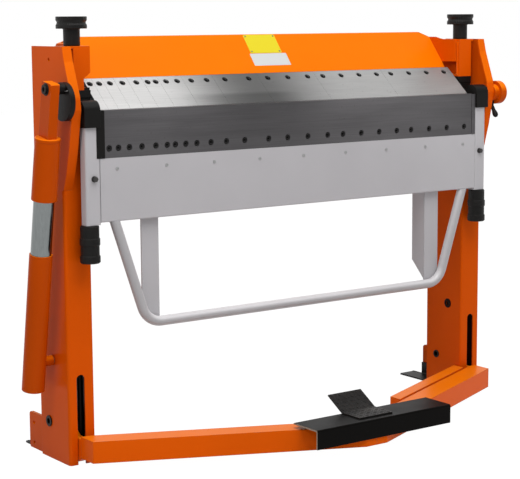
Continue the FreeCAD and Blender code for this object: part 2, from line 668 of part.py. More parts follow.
def bed_beam():
    """Closed box beam between the columns, with an end plate bolted to each."""
    inner_end = COLUMN_INNER_X - BED_END_PLATE
    low = BED_BEAM_TOP_Z - BED_BEAM_HEIGHT
    end_low = low - BED_END_LIP
    end_rear = BED_BEAM_REAR_Y + BED_END_LIP
    end_top = POST_TOP_Z - BED_END_DROP
    wall = BED_BEAM_WALL
    tube = box((-inner_end, inner_end), (BED_BEAM_FRONT_Y, BED_BEAM_REAR_Y), (low, BED_BEAM_TOP_Z))
    hollow = box(
        (-inner_end, inner_end),
        (BED_BEAM_FRONT_Y + wall, BED_BEAM_REAR_Y - wall),
        (low + wall, BED_BEAM_TOP_Z - wall),
    )
    outline = (
        (BED_BEAM_FRONT_Y, low),
        (COLUMN_FRONT_Y, end_low),
        (end_rear, end_low),
        (end_rear, COLUMN_TOP_Z),
        (COLUMN_FRONT_Y, COLUMN_TOP_Z),
        (COLUMN_FRONT_Y, end_top),
        (BED_BEAM_FRONT_Y, end_top),
    )
    end = profile_x(outline, inner_end, COLUMN_INNER_X)
    return tube.cut(hollow).fuse([end, mirrored(end)])


def bed_bar():
    """Ground steel bar under the sheet. Its front is cut back under the bend line."""
    front = BEND_Y + JAW_GAP
    outline = (
        (front, BEND_Z),
        (front, BEND_Z - BED_BAR_NOSE),
        (BED_BEAM_FRONT_Y, BED_BEAM_TOP_Z),
        (BED_BAR_REAR_Y, BED_BEAM_TOP_Z),
        (BED_BAR_REAR_Y, BEND_Z),
    )
    return profile_x(outline, -HALF_LENGTH, HALF_LENGTH)


keep("bed_beam", bed_beam())
keep("bed_bar", bed_bar())


def on_face(along, out):
    """(Y, Z) of a point on the fingers' sloping face: up from the tip, and out of the face."""
    point = FINGER_TIP + FACE_ALONG * along + FACE_OUT * out
    return point.y, point.z


def finger(low, high, screws):
    """Clamping segment: a sloping steel plate ground flat under its nose, with pockets for its screws."""
    flat_reach = FINGER_THICKNESS / FACE_ALONG.z
    outline = (
        on_face(0, 0),
        on_face(FACE_LENGTH, 0),
        on_face(FACE_LENGTH, -FINGER_THICKNESS),
        (FINGER_TIP.y + flat_reach, FINGER_TIP.z),
    )
    plate = profile_x(outline, low + SEGMENT_GAP / 2, high - SEGMENT_GAP / 2)
    pockets = []
    for x in screws:
        mouth = Vector(x, 0, 0) + FINGER_TOP - FACE_ALONG * FINGER_SCREW_EDGE
        floor = mouth - FACE_OUT * SCREW_POCKET_DEPTH
        pockets.append(cylinder(SCREW_POCKET_RADIUS, floor, mouth + FACE_OUT))
    return plate.cut(pockets)


for number, (low, high, screws) in enumerate(segments(), 1):
    keep("finger_%02d" % number, finger(low, high, screws))


def beam_outline(extra=0.0):
    """(Y, Z) section of the clamping beam, drawn in by extra on every side."""
    outline = (
        (*BEAM_FACE_LOW,),
        (*BEAM_RIDGE, BEAM_FOLD),
        (BEAM_RIDGE[0] + BEAM_RIDGE_WIDTH, BEAM_RIDGE[1], BEAM_FOLD),
        (BEAM_REAR_Y, BEAM_REAR_TOP_Z, BEAM_FOLD),
        (BEAM_REAR_Y, BEAM_UNDERSIDE_Z),
        (BEAM_LOWER_FRONT_Y, BEAM_UNDERSIDE_Z),
    )
    face = Part.Face(wire(outline, lambda a, b: Vector(0, a, b)))
    return face.makeOffset2D(-extra) if extra else face


def upper_beam():
    """Folded box beam with a sloping front, a holder plate behind the fingers and a cheek at each end."""
    length = 2 * BEAM_HALF_LENGTH
    start = Vector(-BEAM_HALF_LENGTH, 0, 0)
    shell = beam_outline().extrude(Vector(length, 0, 0))
    hollow = beam_outline(BEAM_WALL).extrude(Vector(length, 0, 0))
    shell.translate(start)
    hollow.translate(start)
    holder_high = FACE_LENGTH + HOLDER_OVERLAP
    holder_low = holder_high - HOLDER_WIDTH
    holder = profile_x(
        (
            on_face(holder_low, -FINGER_THICKNESS),
            on_face(holder_high, -FINGER_THICKNESS),
            on_face(holder_high, -FINGER_THICKNESS - HOLDER_THICKNESS),
            on_face(holder_low, -FINGER_THICKNESS - HOLDER_THICKNESS),
        ),
        -HALF_LENGTH,
        HALF_LENGTH,
    )
    cheek_front = BRACKET_FRONT_Y + CHEEK_SET_BACK
    cheek_outline = (
        (cheek_front, CHEEK_NOTCH_Z),
        (cheek_front, HEAD_TOP_Z),
        (BRACKET_REAR_Y, HEAD_TOP_Z, CHEEK_SWEEP),
        (*BEAM_RIDGE, BEAM_FOLD),
        (BEAM_RIDGE[0] + BEAM_RIDGE_WIDTH, BEAM_RIDGE[1], BEAM_FOLD),
        (BEAM_REAR_Y, BEAM_REAR_TOP_Z, BEAM_FOLD),
        (BEAM_REAR_Y, BEAM_UNDERSIDE_Z),
        (BEAM_LOWER_FRONT_Y, BEAM_UNDERSIDE_Z),
        (BEAM_LOWER_FRONT_Y, CHEEK_NOTCH_Z, BEAM_FOLD),
    )
    cheek = profile_x(cheek_outline, BEAM_HALF_LENGTH, BRACKET_INNER_X)
    beam = shell.cut(hollow).fuse([holder, cheek, mirrored(cheek)])
    cut = profile_y(
        (
            (BRACKET_INNER_X - RIDGE_CUT_LENGTH, BEAM_RIDGE[1] + 1),
            (BRACKET_INNER_X + 1, BEAM_RIDGE[1] + 1),
            (BRACKET_INNER_X + 1, BEAM_RIDGE[1] - RIDGE_CUT_DROP),
        ),
        BRACKET_REAR_Y,
        BEAM_REAR_Y + 1,
    )
    return beam.cut([cut, mirrored(cut)])


def beam_bracket():
    """Folded end bracket of the clamping beam. The tie rod pulls it down through its top plate."""
    plate = BRACKET_PLATE
    width = (BRACKET_INNER_X, BRACKET_OUTER_X)
    depth = (BRACKET_FRONT_Y, BLOCK_REAR_Y)
    height = (BRACKET_BOTTOM_Z, HEAD_TOP_Z)
    front = box(width, (BRACKET_FRONT_Y, BRACKET_FRONT_Y + plate), height)
    side = profile_x(
        (
            (BRACKET_FRONT_Y, BRACKET_BOTTOM_Z),
            (BRACKET_REAR_Y + BRACKET_TAIL, BRACKET_BOTTOM_Z, 8.0),
            (BRACKET_REAR_Y + BRACKET_TAIL, BRACKET_BOTTOM_Z + BRACKET_TAIL_HEIGHT, 20.0),
            (BRACKET_REAR_Y, HEAD_TOP_Z),
            (BRACKET_FRONT_Y, HEAD_TOP_Z),
        ),
        BRACKET_OUTER_X - plate,
        BRACKET_OUTER_X,
    )
    bottom = box(width, depth, (BRACKET_BOTTOM_Z, BRACKET_BOTTOM_Z + plate))
    top = profile_z(
        (
            (BRACKET_INNER_X, BRACKET_FRONT_Y),
            (BRACKET_OUTER_X + BRACKET_TOP_OVERHANG, BRACKET_FRONT_Y, 5.0),
            (BRACKET_OUTER_X + BRACKET_TOP_OVERHANG, BRACKET_REAR_Y, 5.0),
            (BRACKET_INNER_X, BRACKET_REAR_Y),
        ),
        HEAD_TOP_Z - plate,
        HEAD_TOP_Z,
    )
    rod = cylinder(
        TIE_ROD_RADIUS,
        Vector(TIE_ROD_X, TIE_ROD_Y, BRACKET_BOTTOM_Z - 1),
        Vector(TIE_ROD_X, TIE_ROD_Y, HEAD_TOP_Z + 1),
    )
    return front.fuse([side, bottom, top]).cut(rod)


def bracket_notch():
    """Cut in the left bracket's lower corner that keeps the end segment's first screw in reach."""
    inner = BRACKET_INNER_X
    return profile_y(
        (
            (inner - 1, BRACKET_BOTTOM_Z - 1),
            (inner + BRACKET_NOTCH_WIDTH, BRACKET_BOTTOM_Z - 1),
            (inner + BRACKET_NOTCH_WIDTH, BRACKET_BOTTOM_Z + BRACKET_NOTCH_HEIGHT - BRACKET_NOTCH_SLANT),
            (inner - 1, BRACKET_BOTTOM_Z + BRACKET_NOTCH_HEIGHT),
        ),
        BRACKET_FRONT_Y - 1,
        BRACKET_FRONT_Y + BRACKET_PLATE,
    )


def beam_block():
    """Black pressure block under the end bracket."""
    outline = (
        (BRACKET_FRONT_Y, BLOCK_BOTTOM_Z, 4.0),
        (BLOCK_REAR_Y, BLOCK_BOTTOM_Z, 4.0),
        (BLOCK_REAR_Y, BRACKET_BOTTOM_Z),
        (BRACKET_FRONT_Y, BRACKET_BOTTOM_Z),
    )
    block = profile_x(outline, BRACKET_INNER_X, BRACKET_OUTER_X)
    rod = cylinder(
        TIE_ROD_RADIUS,
        Vector(TIE_ROD_X, TIE_ROD_Y, BLOCK_BOTTOM_Z - 1),
        Vector(TIE_ROD_X, TIE_ROD_Y, BRACKET_BOTTOM_Z + 1),
    )
    return block.cut(rod)


def tie_rod():
    """Rod from the knob through the column to the pedal's lever. An eye at its foot holds a cross pin."""
    foot = Vector(TIE_ROD_X, TIE_ROD_Y, LINK_PIN_Z)
    rod = cylinder(TIE_ROD_RADIUS, foot, Vector(TIE_ROD_X, TIE_ROD_Y, KNOB_TOP_Z - KNOB_ROOF))
    eye = profile_x(
        (
            (TIE_ROD_Y - ROD_EYE_HALF, LINK_PIN_Z - ROD_EYE_DROP, ROD_EYE_HALF),
            (TIE_ROD_Y + ROD_EYE_HALF, LINK_PIN_Z - ROD_EYE_DROP, ROD_EYE_HALF),
            (TIE_ROD_Y + ROD_EYE_HALF, LINK_PIN_Z + ROD_EYE_RISE, 4.0),
            (TIE_ROD_Y - ROD_EYE_HALF, LINK_PIN_Z + ROD_EYE_RISE, 4.0),
        ),
        TIE_ROD_X - TIE_ROD_RADIUS,
        TIE_ROD_X + TIE_ROD_RADIUS,
    )
    pin_end = foot + Vector(LEVER_OUTER_X + LINK_PIN_PLAY - TIE_ROD_X, 0, 0)
    pin = cylinder(LINK_PIN_RADIUS, foot, pin_end)
    head = cylinder(LINK_HEAD_RADIUS, pin_end, pin_end + Vector(LINK_HEAD_HEIGHT, 0, 0))
    return rod.fuse([eye, pin, head])


keep("upper_beam", upper_beam())
keep("beam_bracket_left", mirrored(beam_bracket().cut(bracket_notch())))
keep("beam_bracket_right", beam_bracket())
keep_pair("beam_block", beam_block())
keep_pair("tie_rod", tie_rod())


def clamp_knob():
    """Pressure knob: a grooved hand disc on a collar, screwed on the tie rod."""
    bottom = HEAD_TOP_Z + MOVING_GAP
    bore = TIE_ROD_RADIUS + RUNNING_FIT
    bore_top = KNOB_TOP_Z - KNOB_ROOF + MOVING_GAP
    outline = (
        (bore, bottom),
        (KNOB_COLLAR_RADIUS, bottom, 2.0),
        (KNOB_COLLAR_RADIUS, KNOB_DISC_BOTTOM_Z, 3.0),
        (KNOB_RADIUS, KNOB_DISC_BOTTOM_Z, 2.0),
        (KNOB_RADIUS, KNOB_DISC_BOTTOM_Z + KNOB_RIM, 1.0),
        (KNOB_RADIUS - KNOB_GROOVE, (KNOB_DISC_BOTTOM_Z + KNOB_TOP_Z) / 2, 6.0),
        (KNOB_RADIUS, KNOB_TOP_Z - KNOB_RIM, 1.0),
        (KNOB_RADIUS, KNOB_TOP_Z, 2.0),
        (0, KNOB_TOP_Z),
        (0, bore_top),
        (bore, bore_top),
    )
    return turned(outline, TIE_ROD_X, TIE_ROD_Y)


keep_pair("clamp_knob", clamp_knob())


def apron_panel():
    """Folded apron plate: front panel, step back behind the bending bar and a stiffening foot."""
    backing_front = BEND_Y
    backing_rear = BEND_Y + BACKING_PLATE
    outline = (
        (0, APRON_BOTTOM_Z, 3.0),
        (0, BAR_BOTTOM_Z),
        (backing_front, BAR_BOTTOM_Z),
        (backing_front, BACKING_TOP_Z),
        (backing_rear, BACKING_TOP_Z),
        (backing_rear, BAR_BOTTOM_Z - APRON_PLATE, 3.0),
        (APRON_PLATE, BAR_BOTTOM_Z - APRON_PLATE, 3.0),
        (APRON_PLATE, APRON_BOTTOM_Z + APRON_PLATE, 3.0),
        (APRON_FOOT_DEPTH - APRON_PLATE, APRON_BOTTOM_Z + APRON_PLATE, 3.0),
        (APRON_FOOT_DEPTH - APRON_PLATE, APRON_BOTTOM_Z + APRON_FOOT_HEIGHT),
        (APRON_FOOT_DEPTH, APRON_BOTTOM_Z + APRON_FOOT_HEIGHT),
        (APRON_FOOT_DEPTH, APRON_BOTTOM_Z, 6.0),
    )
    return profile_x(outline, -APRON_HALF_LENGTH, APRON_HALF_LENGTH)


def bending_bar():
    """Ground bar that folds the sheet, screwed to the apron along its lower edge."""
    bar = box((-HALF_LENGTH, HALF_LENGTH), (0, BEND_Y), (BAR_BOTTOM_Z, BEND_Z))
    pockets = [
        cylinder(
            SCREW_POCKET_RADIUS,
            Vector(x, -1, BAR_SCREW_Z),
            Vector(x, SCREW_POCKET_DEPTH, BAR_SCREW_Z),
        )
        for low, high, screws in segments()
        for x in screws
    ]
    return bar.cut(pockets)


def post():
    """Post at the end of the apron, with the stud that carries the lower adjuster."""
    outline = (
        (POST_INNER_X, 0, 4.0),
        (POST_OUTER_X, 0, 6.0),
        (POST_OUTER_X, POST_DEPTH, 4.0),
        (POST_INNER_X, POST_DEPTH),
    )
    body = profile_z(outline, POST_BOTTOM_Z, POST_TOP_Z)
    flange = box((APRON_HALF_LENGTH, POST_INNER_X), (0, POST_DEPTH), (APRON_BOTTOM_Z, POST_TOP_Z))
    stud = cylinder(
        ADJUSTER_STUD_RADIUS,
        Vector(ADJUSTER_X, ADJUSTER_Y, ADJUSTER_BOTTOM_Z + ADJUSTER_FLOOR),
        Vector(ADJUSTER_X, ADJUSTER_Y, POST_BOTTOM_Z + 1),
    )
    return body.fuse([flange, stud])


def hinge_block():
    """Bearing block on the post, rounded about the hinge axis."""
    front = BEND_Y - HINGE_BLOCK_RADIUS
    rear = BEND_Y + HINGE_BLOCK_RADIUS
    low = POST_TOP_Z
    base = box((POST_INNER_X, HINGE_BLOCK_OUTER_X), (front, rear), (low, BEND_Z))
    start = Vector(POST_INNER_X, BEND_Y, BEND_Z)
    return base.fuse(cylinder(HINGE_BLOCK_RADIUS, start, Vector(HINGE_BLOCK_OUTER_X, BEND_Y, BEND_Z)))


def hinge_shaft(end_x):
    """Shaft from inside the hinge block out through the head plate, to the crank or the stop."""
    start = Vector(POST_INNER_X + HINGE_SHAFT_SEAT, BEND_Y, BEND_Z)
    return cylinder(HINGE_SHAFT_RADIUS, start, Vector(end_x, BEND_Y, BEND_Z))


def post_bolt():
    """Hexagon bolt head and washer on the front of the post."""
    seat = Vector(POST_BOLT_X, 0, POST_BOLT_Z)
    washer = cylinder(POST_WASHER_RADIUS, seat - Vector(0, POST_WASHER_HEIGHT, 0), seat)
    corners = []
    for i in range(6):
        turn = math.radians(60 * i)
        across = POST_BOLT_RADIUS * math.cos(turn)
        up = POST_BOLT_RADIUS * math.sin(turn)
        corners.append((seat.x + across, seat.z + up))
    return washer.fuse(profile_y(corners, -POST_WASHER_HEIGHT - POST_BOLT_HEIGHT, -POST_WASHER_HEIGHT))


keep("apron_panel", apron_panel())
keep("bending_bar", bending_bar())
keep_pair("post", post())
keep("hinge_block_left", mirrored(hinge_block().fuse(hinge_shaft(CRANK_OUTER_X))))
keep("hinge_block_right", hinge_block().fuse(hinge_shaft(STOP_BORE_END_X - MOVING_GAP)))
right_bolt = post_bolt()
keep("post_bolts", Part.makeCompound([mirrored(right_bolt), right_bolt]))


def adjuster():
    """Knurled sleeve nut under the post that sets the apron's height."""
    top = POST_BOTTOM_Z - MOVING_GAP
    bore = ADJUSTER_STUD_RADIUS + RUNNING_FIT
    bore_low = ADJUSTER_BOTTOM_Z + ADJUSTER_FLOOR - MOVING_GAP
    chamfer = ADJUSTER_CHAMFER
    low_band = ADJUSTER_BOTTOM_Z + chamfer
    high_band = low_band + ADJUSTER_BAND + ADJUSTER_WAIST
    outline = [(0, ADJUSTER_BOTTOM_Z), (ADJUSTER_BAND_RADIUS - chamfer, ADJUSTER_BOTTOM_Z)]
    for band in (low_band, high_band):
        outline += [
            (ADJUSTER_BAND_RADIUS, band),
            (ADJUSTER_BAND_RADIUS, band + ADJUSTER_BAND),
            (ADJUSTER_RADIUS, band + ADJUSTER_BAND + chamfer),
        ]
        if band == low_band:
            outline.append((ADJUSTER_RADIUS, high_band - chamfer))
    outline += [
        (ADJUSTER_RADIUS, top - chamfer),
        (ADJUSTER_RADIUS - chamfer, top),
        (bore, top),
        (bore, bore_low),
        (0, bore_low),
    ]
    return turned(outline, ADJUSTER_X, ADJUSTER_Y)


keep_pair("adjuster", adjuster())


def handle():
    """Bent tube under the apron that the operator lifts."""
    slope = (HANDLE_TOP_X - HANDLE_CORNER_X) / (APRON_BOTTOM_Z - HANDLE_LOW_Z)
    spare = 2 * HANDLE_RADIUS
    over = APRON_BOTTOM_Z + spare
    over_x = HANDLE_TOP_X + spare * slope
    corners = [
        Vector(-over_x, HANDLE_Y, over),
        Vector(-HANDLE_CORNER_X, HANDLE_Y, HANDLE_LOW_Z),
        Vector(HANDLE_CORNER_X, HANDLE_Y, HANDLE_LOW_Z),
        Vector(over_x, HANDLE_Y, over),
    ]
    edges = []
    last = corners[0]
    for i in (1, 2):
        back = (corners[i - 1] - corners[i]).normalize()
        ahead = (corners[i + 1] - corners[i]).normalize()
        half = back.getAngle(ahead) / 2
        reach = HANDLE_BEND_RADIUS / math.tan(half)
        middle = (back + ahead).normalize() * (HANDLE_BEND_RADIUS / math.sin(half) - HANDLE_BEND_RADIUS)
        edges.append(Part.LineSegment(last, corners[i] + back * reach).toShape())
        last = corners[i] + ahead * reach
        edges.append(Part.Arc(corners[i] + back * reach, corners[i] + middle, last).toShape())
    edges.append(Part.LineSegment(last, corners[3]).toShape())
    path = Part.Wire(edges)
    section = Part.Wire(Part.makeCircle(HANDLE_RADIUS, corners[0], corners[1] - corners[0]))
    tube = path.makePipeShell([section], True, False)
    above = box(
        (-over_x - spare, over_x + spare),
        (HANDLE_Y - spare, HANDLE_Y + spare),
        (APRON_BOTTOM_Z, over + spare),
    )
    return tube.cut(above)


def stiffener(tube):
    """Folded angle from the apron's foot down to the handle, notched round the tube."""
    web = box(
        (STIFFENER_INNER_X, STIFFENER_OUTER_X),
        (STIFFENER_FRONT_Y, STIFFENER_FRONT_Y + STIFFENER_PLATE),
        (STIFFENER_LOW_Z, APRON_BOTTOM_Z),
    )
    flange = profile_x(
        (
            (STIFFENER_FRONT_Y, STIFFENER_LOW_Z),
            (STIFFENER_REAR_Y, STIFFENER_CUT_Z),
            (STIFFENER_REAR_Y, APRON_BOTTOM_Z),
            (STIFFENER_FRONT_Y, APRON_BOTTOM_Z),
        ),
        STIFFENER_INNER_X,
        STIFFENER_INNER_X + STIFFENER_PLATE,
    )
    return web.fuse(flange).cut(tube)


handle_tube = handle()
keep("handle", handle_tube)
keep_pair("handle_stiffener", stiffener(handle_tube))


def crank():
    """Disc on the left end of the hinge shaft, with the boss that the strut hangs on."""
    x0 = -CRANK_INNER_X
    x1 = -CRANK_OUTER_X
    centre = (CRANK_CENTRE_Y, CRANK_CENTRE_Z)
    pin = (CRANK_PIN_Y, CRANK_PIN_Z)
    disc = cylinder(CRANK_RADIUS, Vector(x0, *centre), Vector(x1, *centre))
    boss_end = -(STRUT_X - STRUT_BAR_WIDTH / 2 - STRUT_BAR_GAP)
    boss = cylinder(CRANK_BOSS_RADIUS, Vector(x0, *pin), Vector(boss_end, *pin))
    shaft = cylinder(HINGE_SHAFT_RADIUS, Vector(x0 + 1, BEND_Y, BEND_Z), Vector(x1 - 1, BEND_Y, BEND_Z))
    return disc.fuse(boss).cut(shaft)


keep("crank", crank())


def in_strut(shape):
    """Places a piece drawn upright at the strut's lower pivot along the leaning strut."""
    placed = shape.copy()
    placed.rotate(Vector(0, 0, 0), Vector(1, 0, 0), STRUT_LEAN)
    placed.translate(Vector(-STRUT_X, STRUT_PIVOT_Y, STRUT_PIVOT_Z))
    return placed


def strut_tube():
    """Lower strut tube with a plug and a pivot boss towards the stand."""
    tube = cylinder(STRUT_TUBE_RADIUS, Vector(0, 0, STRUT_TUBE_LOW), Vector(0, 0, STRUT_TUBE_HIGH))
    boss_end = STRUT_X - COLUMN_OUTER_X - CRANK_GAP
    boss = cylinder(STRUT_PIN_BOSS_RADIUS, Vector(0, 0, 0), Vector(boss_end, 0, 0))
    bore = cylinder(
        STRUT_ROD_RADIUS + RUNNING_FIT, Vector(0, 0, STRUT_PLUG_HIGH), Vector(0, 0, STRUT_TUBE_HIGH + 1)
    )
    pin = cylinder(STRUT_PIN_RADIUS + RUNNING_FIT, Vector(-MOVING_GAP, 0, 0), Vector(boss_end + 1, 0, 0))
    return in_strut(tube.fuse(boss).cut([bore, pin]))


def strut_rod():
    """Bright tube that slides in the lower tube."""
    low = Vector(0, 0, STRUT_ROD_LOW)
    high = Vector(0, 0, STRUT_SLEEVE_LOW + STRUT_ROD_SEAT)
    bore = cylinder(STRUT_ROD_RADIUS - STRUT_ROD_WALL, low, high)
    return in_strut(cylinder(STRUT_ROD_RADIUS, low, high).cut(bore))


def strut_sleeve():
    """Upper sleeve, a little wider at its ends, with the flat bar that the crank's bolt holds."""
    outline = (
        (STRUT_ROD_RADIUS, STRUT_SLEEVE_LOW),
        (STRUT_SLEEVE_RADIUS, STRUT_SLEEVE_LOW, 2.0),
        (STRUT_SLEEVE_RADIUS - 1, STRUT_SLEEVE_HIGH - 10),
        (STRUT_SLEEVE_RADIUS, STRUT_SLEEVE_HIGH - 8),
        (STRUT_SLEEVE_RADIUS, STRUT_SLEEVE_HIGH, 3.0),
        (0, STRUT_SLEEVE_HIGH),
        (0, STRUT_SLEEVE_LOW + STRUT_ROD_SEAT),
        (STRUT_ROD_RADIUS, STRUT_SLEEVE_LOW + STRUT_ROD_SEAT),
    )
    sleeve = turned(outline, 0, 0)
    half = STRUT_BAR_WIDTH / 2
    bar = profile_x(
        (
            (-STRUT_BAR_DEPTH / 2, STRUT_SLEEVE_HIGH - 2),
            (STRUT_BAR_DEPTH / 2, STRUT_SLEEVE_HIGH - 2),
            (STRUT_BAR_DEPTH / 2, STRUT_LENGTH + STRUT_BAR_END, 5.0),
            (-STRUT_BAR_DEPTH / 2, STRUT_LENGTH + STRUT_BAR_END, 5.0),
        ),
        -half,
        half,
    )
    bolt = cylinder(
        STRUT_SHANK_RADIUS,
        Vector(-half - 1, 0, STRUT_LENGTH),
        Vector(half + 1, 0, STRUT_LENGTH),
    )
    return in_strut(sleeve.fuse(bar).cut(bolt))


def strut_bolt():
    """Bolt through the bar at the crank."""
    half = STRUT_BAR_WIDTH / 2
    shank = cylinder(STRUT_SHANK_RADIUS, Vector(half, 0, STRUT_LENGTH), Vector(-half, 0, STRUT_LENGTH))
    head = cylinder(
        STRUT_BOLT_RADIUS,
        Vector(-half, 0, STRUT_LENGTH),
        Vector(-half - STRUT_BOLT_HEIGHT, 0, STRUT_LENGTH),
    )
    socket = cylinder(
        STRUT_BOLT_RADIUS / 2,
        Vector(-half - STRUT_BOLT_HEIGHT / 2, 0, STRUT_LENGTH),
        Vector(-half - STRUT_BOLT_HEIGHT - 1, 0, STRUT_LENGTH),
    )
    return in_strut(shank.fuse(head).cut(socket))


def strut_pin():
    """Pin fixed in the left stand's outer plate that the strut swings on."""
    inner = -COLUMN_OUTER_X + OUTER_PLATE
    return cylinder(
        STRUT_PIN_RADIUS,
        Vector(inner + 2, STRUT_PIVOT_Y, STRUT_PIVOT_Z),
        Vector(-STRUT_X, STRUT_PIVOT_Y, STRUT_PIVOT_Z),
    )


keep("strut_tube", strut_tube())
keep("strut_rod", strut_rod())
keep("strut_sleeve", strut_sleeve())
keep("strut_bolt", strut_bolt())
keep("strut_pin", strut_pin())


def angle_stop():
    """Stop ring and neck on the right end of the hinge shaft."""
    axis = (BEND_Y, BEND_Z)
    ring_start = Vector(STOP_RING_INNER_X, *axis)
    neck = cylinder(STOP_NECK_RADIUS, Vector(COLUMN_OUTER_X + MOVING_GAP, *axis), ring_start)
    ring = cylinder(STOP_RING_RADIUS, ring_start, Vector(STOP_RING_OUTER_X, *axis))
    rim = [edge for edge in ring.Edges if edge.BoundBox.XMin > STOP_RING_OUTER_X - 1]
    ring = ring.makeFillet(STOP_RING_ROUND, rim)
    shaft = cylinder(
        HINGE_SHAFT_RADIUS + RUNNING_FIT,
        Vector(COLUMN_OUTER_X - 1, *axis),
        Vector(STOP_BORE_END_X, *axis),
    )
    stem_top = BEND_Z - STOP_NECK_RADIUS + STOP_STEM_SEAT + MOVING_GAP
    stem = cylinder(
        STOP_STEM_RADIUS + RUNNING_FIT,
        Vector(STOP_LEVER_X, BEND_Y, stem_top),
        Vector(STOP_LEVER_X, BEND_Y, BEND_Z - STOP_NECK_RADIUS - 1),
    )
    return neck.fuse(ring).cut([shaft, stem])


def stop_lever():
    """Clamping lever under the stop's neck: a stem, a hub and a bent arm with a ball end."""
    stem_top = Vector(STOP_LEVER_X, BEND_Y, BEND_Z - STOP_NECK_RADIUS + STOP_STEM_SEAT)
    hub_top = Vector(STOP_LEVER_X, BEND_Y, BEND_Z - STOP_NECK_RADIUS - STOP_HUB_DROP)
    hub_low = hub_top - Vector(0, 0, STOP_HUB_LENGTH)
    ball_centre = Vector(STOP_LEVER_X, BEND_Y - STOP_LEVER_REACH, BEND_Z - STOP_LEVER_DROP)
    stem = cylinder(STOP_STEM_RADIUS, stem_top, hub_low)
    hub = cylinder(STOP_HUB_RADIUS, hub_top, hub_low)
    arm = cylinder(STOP_ARM_RADIUS, hub_low + Vector(0, 0, STOP_ARM_RADIUS), ball_centre)
    ball = Part.makeSphere(STOP_BALL_RADIUS, ball_centre)
    return stem.fuse([hub, arm, ball])


keep("angle_stop", angle_stop())
keep("stop_lever", stop_lever())


def arm_line(x, inward):
    """Y on the pedal's right arm at x: on its outer face, or a distance inward from it."""
    return PEDAL_APEX_Y + (x - PEDAL_APEX_X) * PEDAL_SLOPE + inward * math.hypot(1, PEDAL_SLOPE)


def arm_outline(inset):
    """Plan of the right arm, drawn in by inset on every side but its mitre."""
    outer = LEVER_OUTER_X - inset
    inner = PEDAL_ARM_WIDTH - inset
    apex_y = PEDAL_APEX_Y + inset
    apex_x = PEDAL_APEX_X + (apex_y - arm_line(PEDAL_APEX_X, inset)) / PEDAL_SLOPE
    return (
        (0, apex_y),
        (apex_x, apex_y),
        (outer, arm_line(outer, inset)),
        (outer, arm_line(LEVER_INNER_X, inner)),
        (LEVER_INNER_X, arm_line(LEVER_INNER_X, inner)),
        (0, arm_line(0, inner)),
    )


def pedal_lever():
    """Flat lever on the arm's end: runs through the column to the pivot, slotted for the tie rod's pin."""
    front = arm_line(LEVER_INNER_X, PEDAL_ARM_WIDTH)
    tangent = LEVER_EYE_RADIUS * math.sin(math.radians(45))
    bar = profile_x(
        (
            (front, PEDAL_LOW_Z),
            (front + LEVER_CHIN, LEVER_LOW_Z, LEVER_CHIN / 2),
            (PEDAL_PIVOT_Y - LEVER_LOW_BEND, LEVER_LOW_Z, LEVER_BEND_RADIUS),
            (PEDAL_PIVOT_Y + tangent, PEDAL_PIVOT_Z - tangent),
            (PEDAL_PIVOT_Y - tangent, PEDAL_PIVOT_Z + tangent),
            (PEDAL_PIVOT_Y - LEVER_HIGH_BEND, LEVER_HIGH_Z, LEVER_BEND_RADIUS),
            (front, LEVER_HIGH_Z),
        ),
        LEVER_INNER_X,
        LEVER_OUTER_X,
    )
    pivot_in = Vector(LEVER_INNER_X, PEDAL_PIVOT_Y, PEDAL_PIVOT_Z)
    pivot_out = Vector(LEVER_OUTER_X, PEDAL_PIVOT_Y, PEDAL_PIVOT_Z)
    eye = cylinder(LEVER_EYE_RADIUS, pivot_in, pivot_out)
    bore = cylinder(
        PEDAL_PIVOT_RADIUS + RUNNING_FIT,
        pivot_in - Vector(1, 0, 0),
        pivot_out + Vector(1, 0, 0),
    )
    return bar.fuse(eye).cut([bore, link_slot()])


def link_slot():
    """Cutter for the slot that the tie rod's pin runs in while the lever turns through its lift."""
    turn = math.radians(PEDAL_LIFT_ANGLE)
    arm_y = TIE_ROD_Y - PEDAL_PIVOT_Y
    arm_z = LINK_PIN_Z - PEDAL_PIVOT_Z
    lift = -arm_y * math.sin(turn) + arm_z * math.cos(turn) - arm_z
    end_y = PEDAL_PIVOT_Y + arm_y * math.cos(turn) - (arm_z + lift) * math.sin(turn)
    end_z = PEDAL_PIVOT_Z + arm_y * math.sin(turn) + (arm_z + lift) * math.cos(turn)
    start = Vector(LEVER_INNER_X - 1, TIE_ROD_Y, LINK_PIN_Z)
    end = Vector(LEVER_INNER_X - 1, end_y, end_z)
    radius = LINK_PIN_RADIUS + LINK_SLOT_CLEARANCE
    through = Vector(LEVER_OUTER_X - LEVER_INNER_X + 2, 0, 0)
    side = (end - start).cross(Vector(1, 0, 0)).normalize() * radius
    middle = Part.makePolygon([start + side, end + side, end - side, start - side, start + side])
    slab = Part.Face(middle).extrude(through)
    return slab.fuse([cylinder(radius, start, start + through), cylinder(radius, end, end + through)])


def pedal_arm():
    """Right arm of the V: box tube from the nose, where it is mitred to the left arm, out to the lever."""
    tube = profile_z(arm_outline(0), PEDAL_LOW_Z, PEDAL_HIGH_Z)
    return tube.cut(profile_z(arm_outline(PEDAL_WALL), PEDAL_LOW_Z + PEDAL_WALL, PEDAL_HIGH_Z - PEDAL_WALL))


def brace_outline(inset):
    """Plan of the brace along the right arm, drawn in by inset."""
    near_x = BRACE_NEAR_X + inset
    far_x = BRACE_FAR_X - inset
    near_side = PEDAL_ARM_WIDTH + BRACE_GROOVE + inset
    far_side = PEDAL_ARM_WIDTH + BRACE_GROOVE + BRACE_WIDTH - inset
    return (
        (near_x, arm_line(near_x, near_side)),
        (far_x, arm_line(far_x, near_side)),
        (far_x, arm_line(far_x, far_side)),
        (near_x, arm_line(near_x, far_side)),
    )


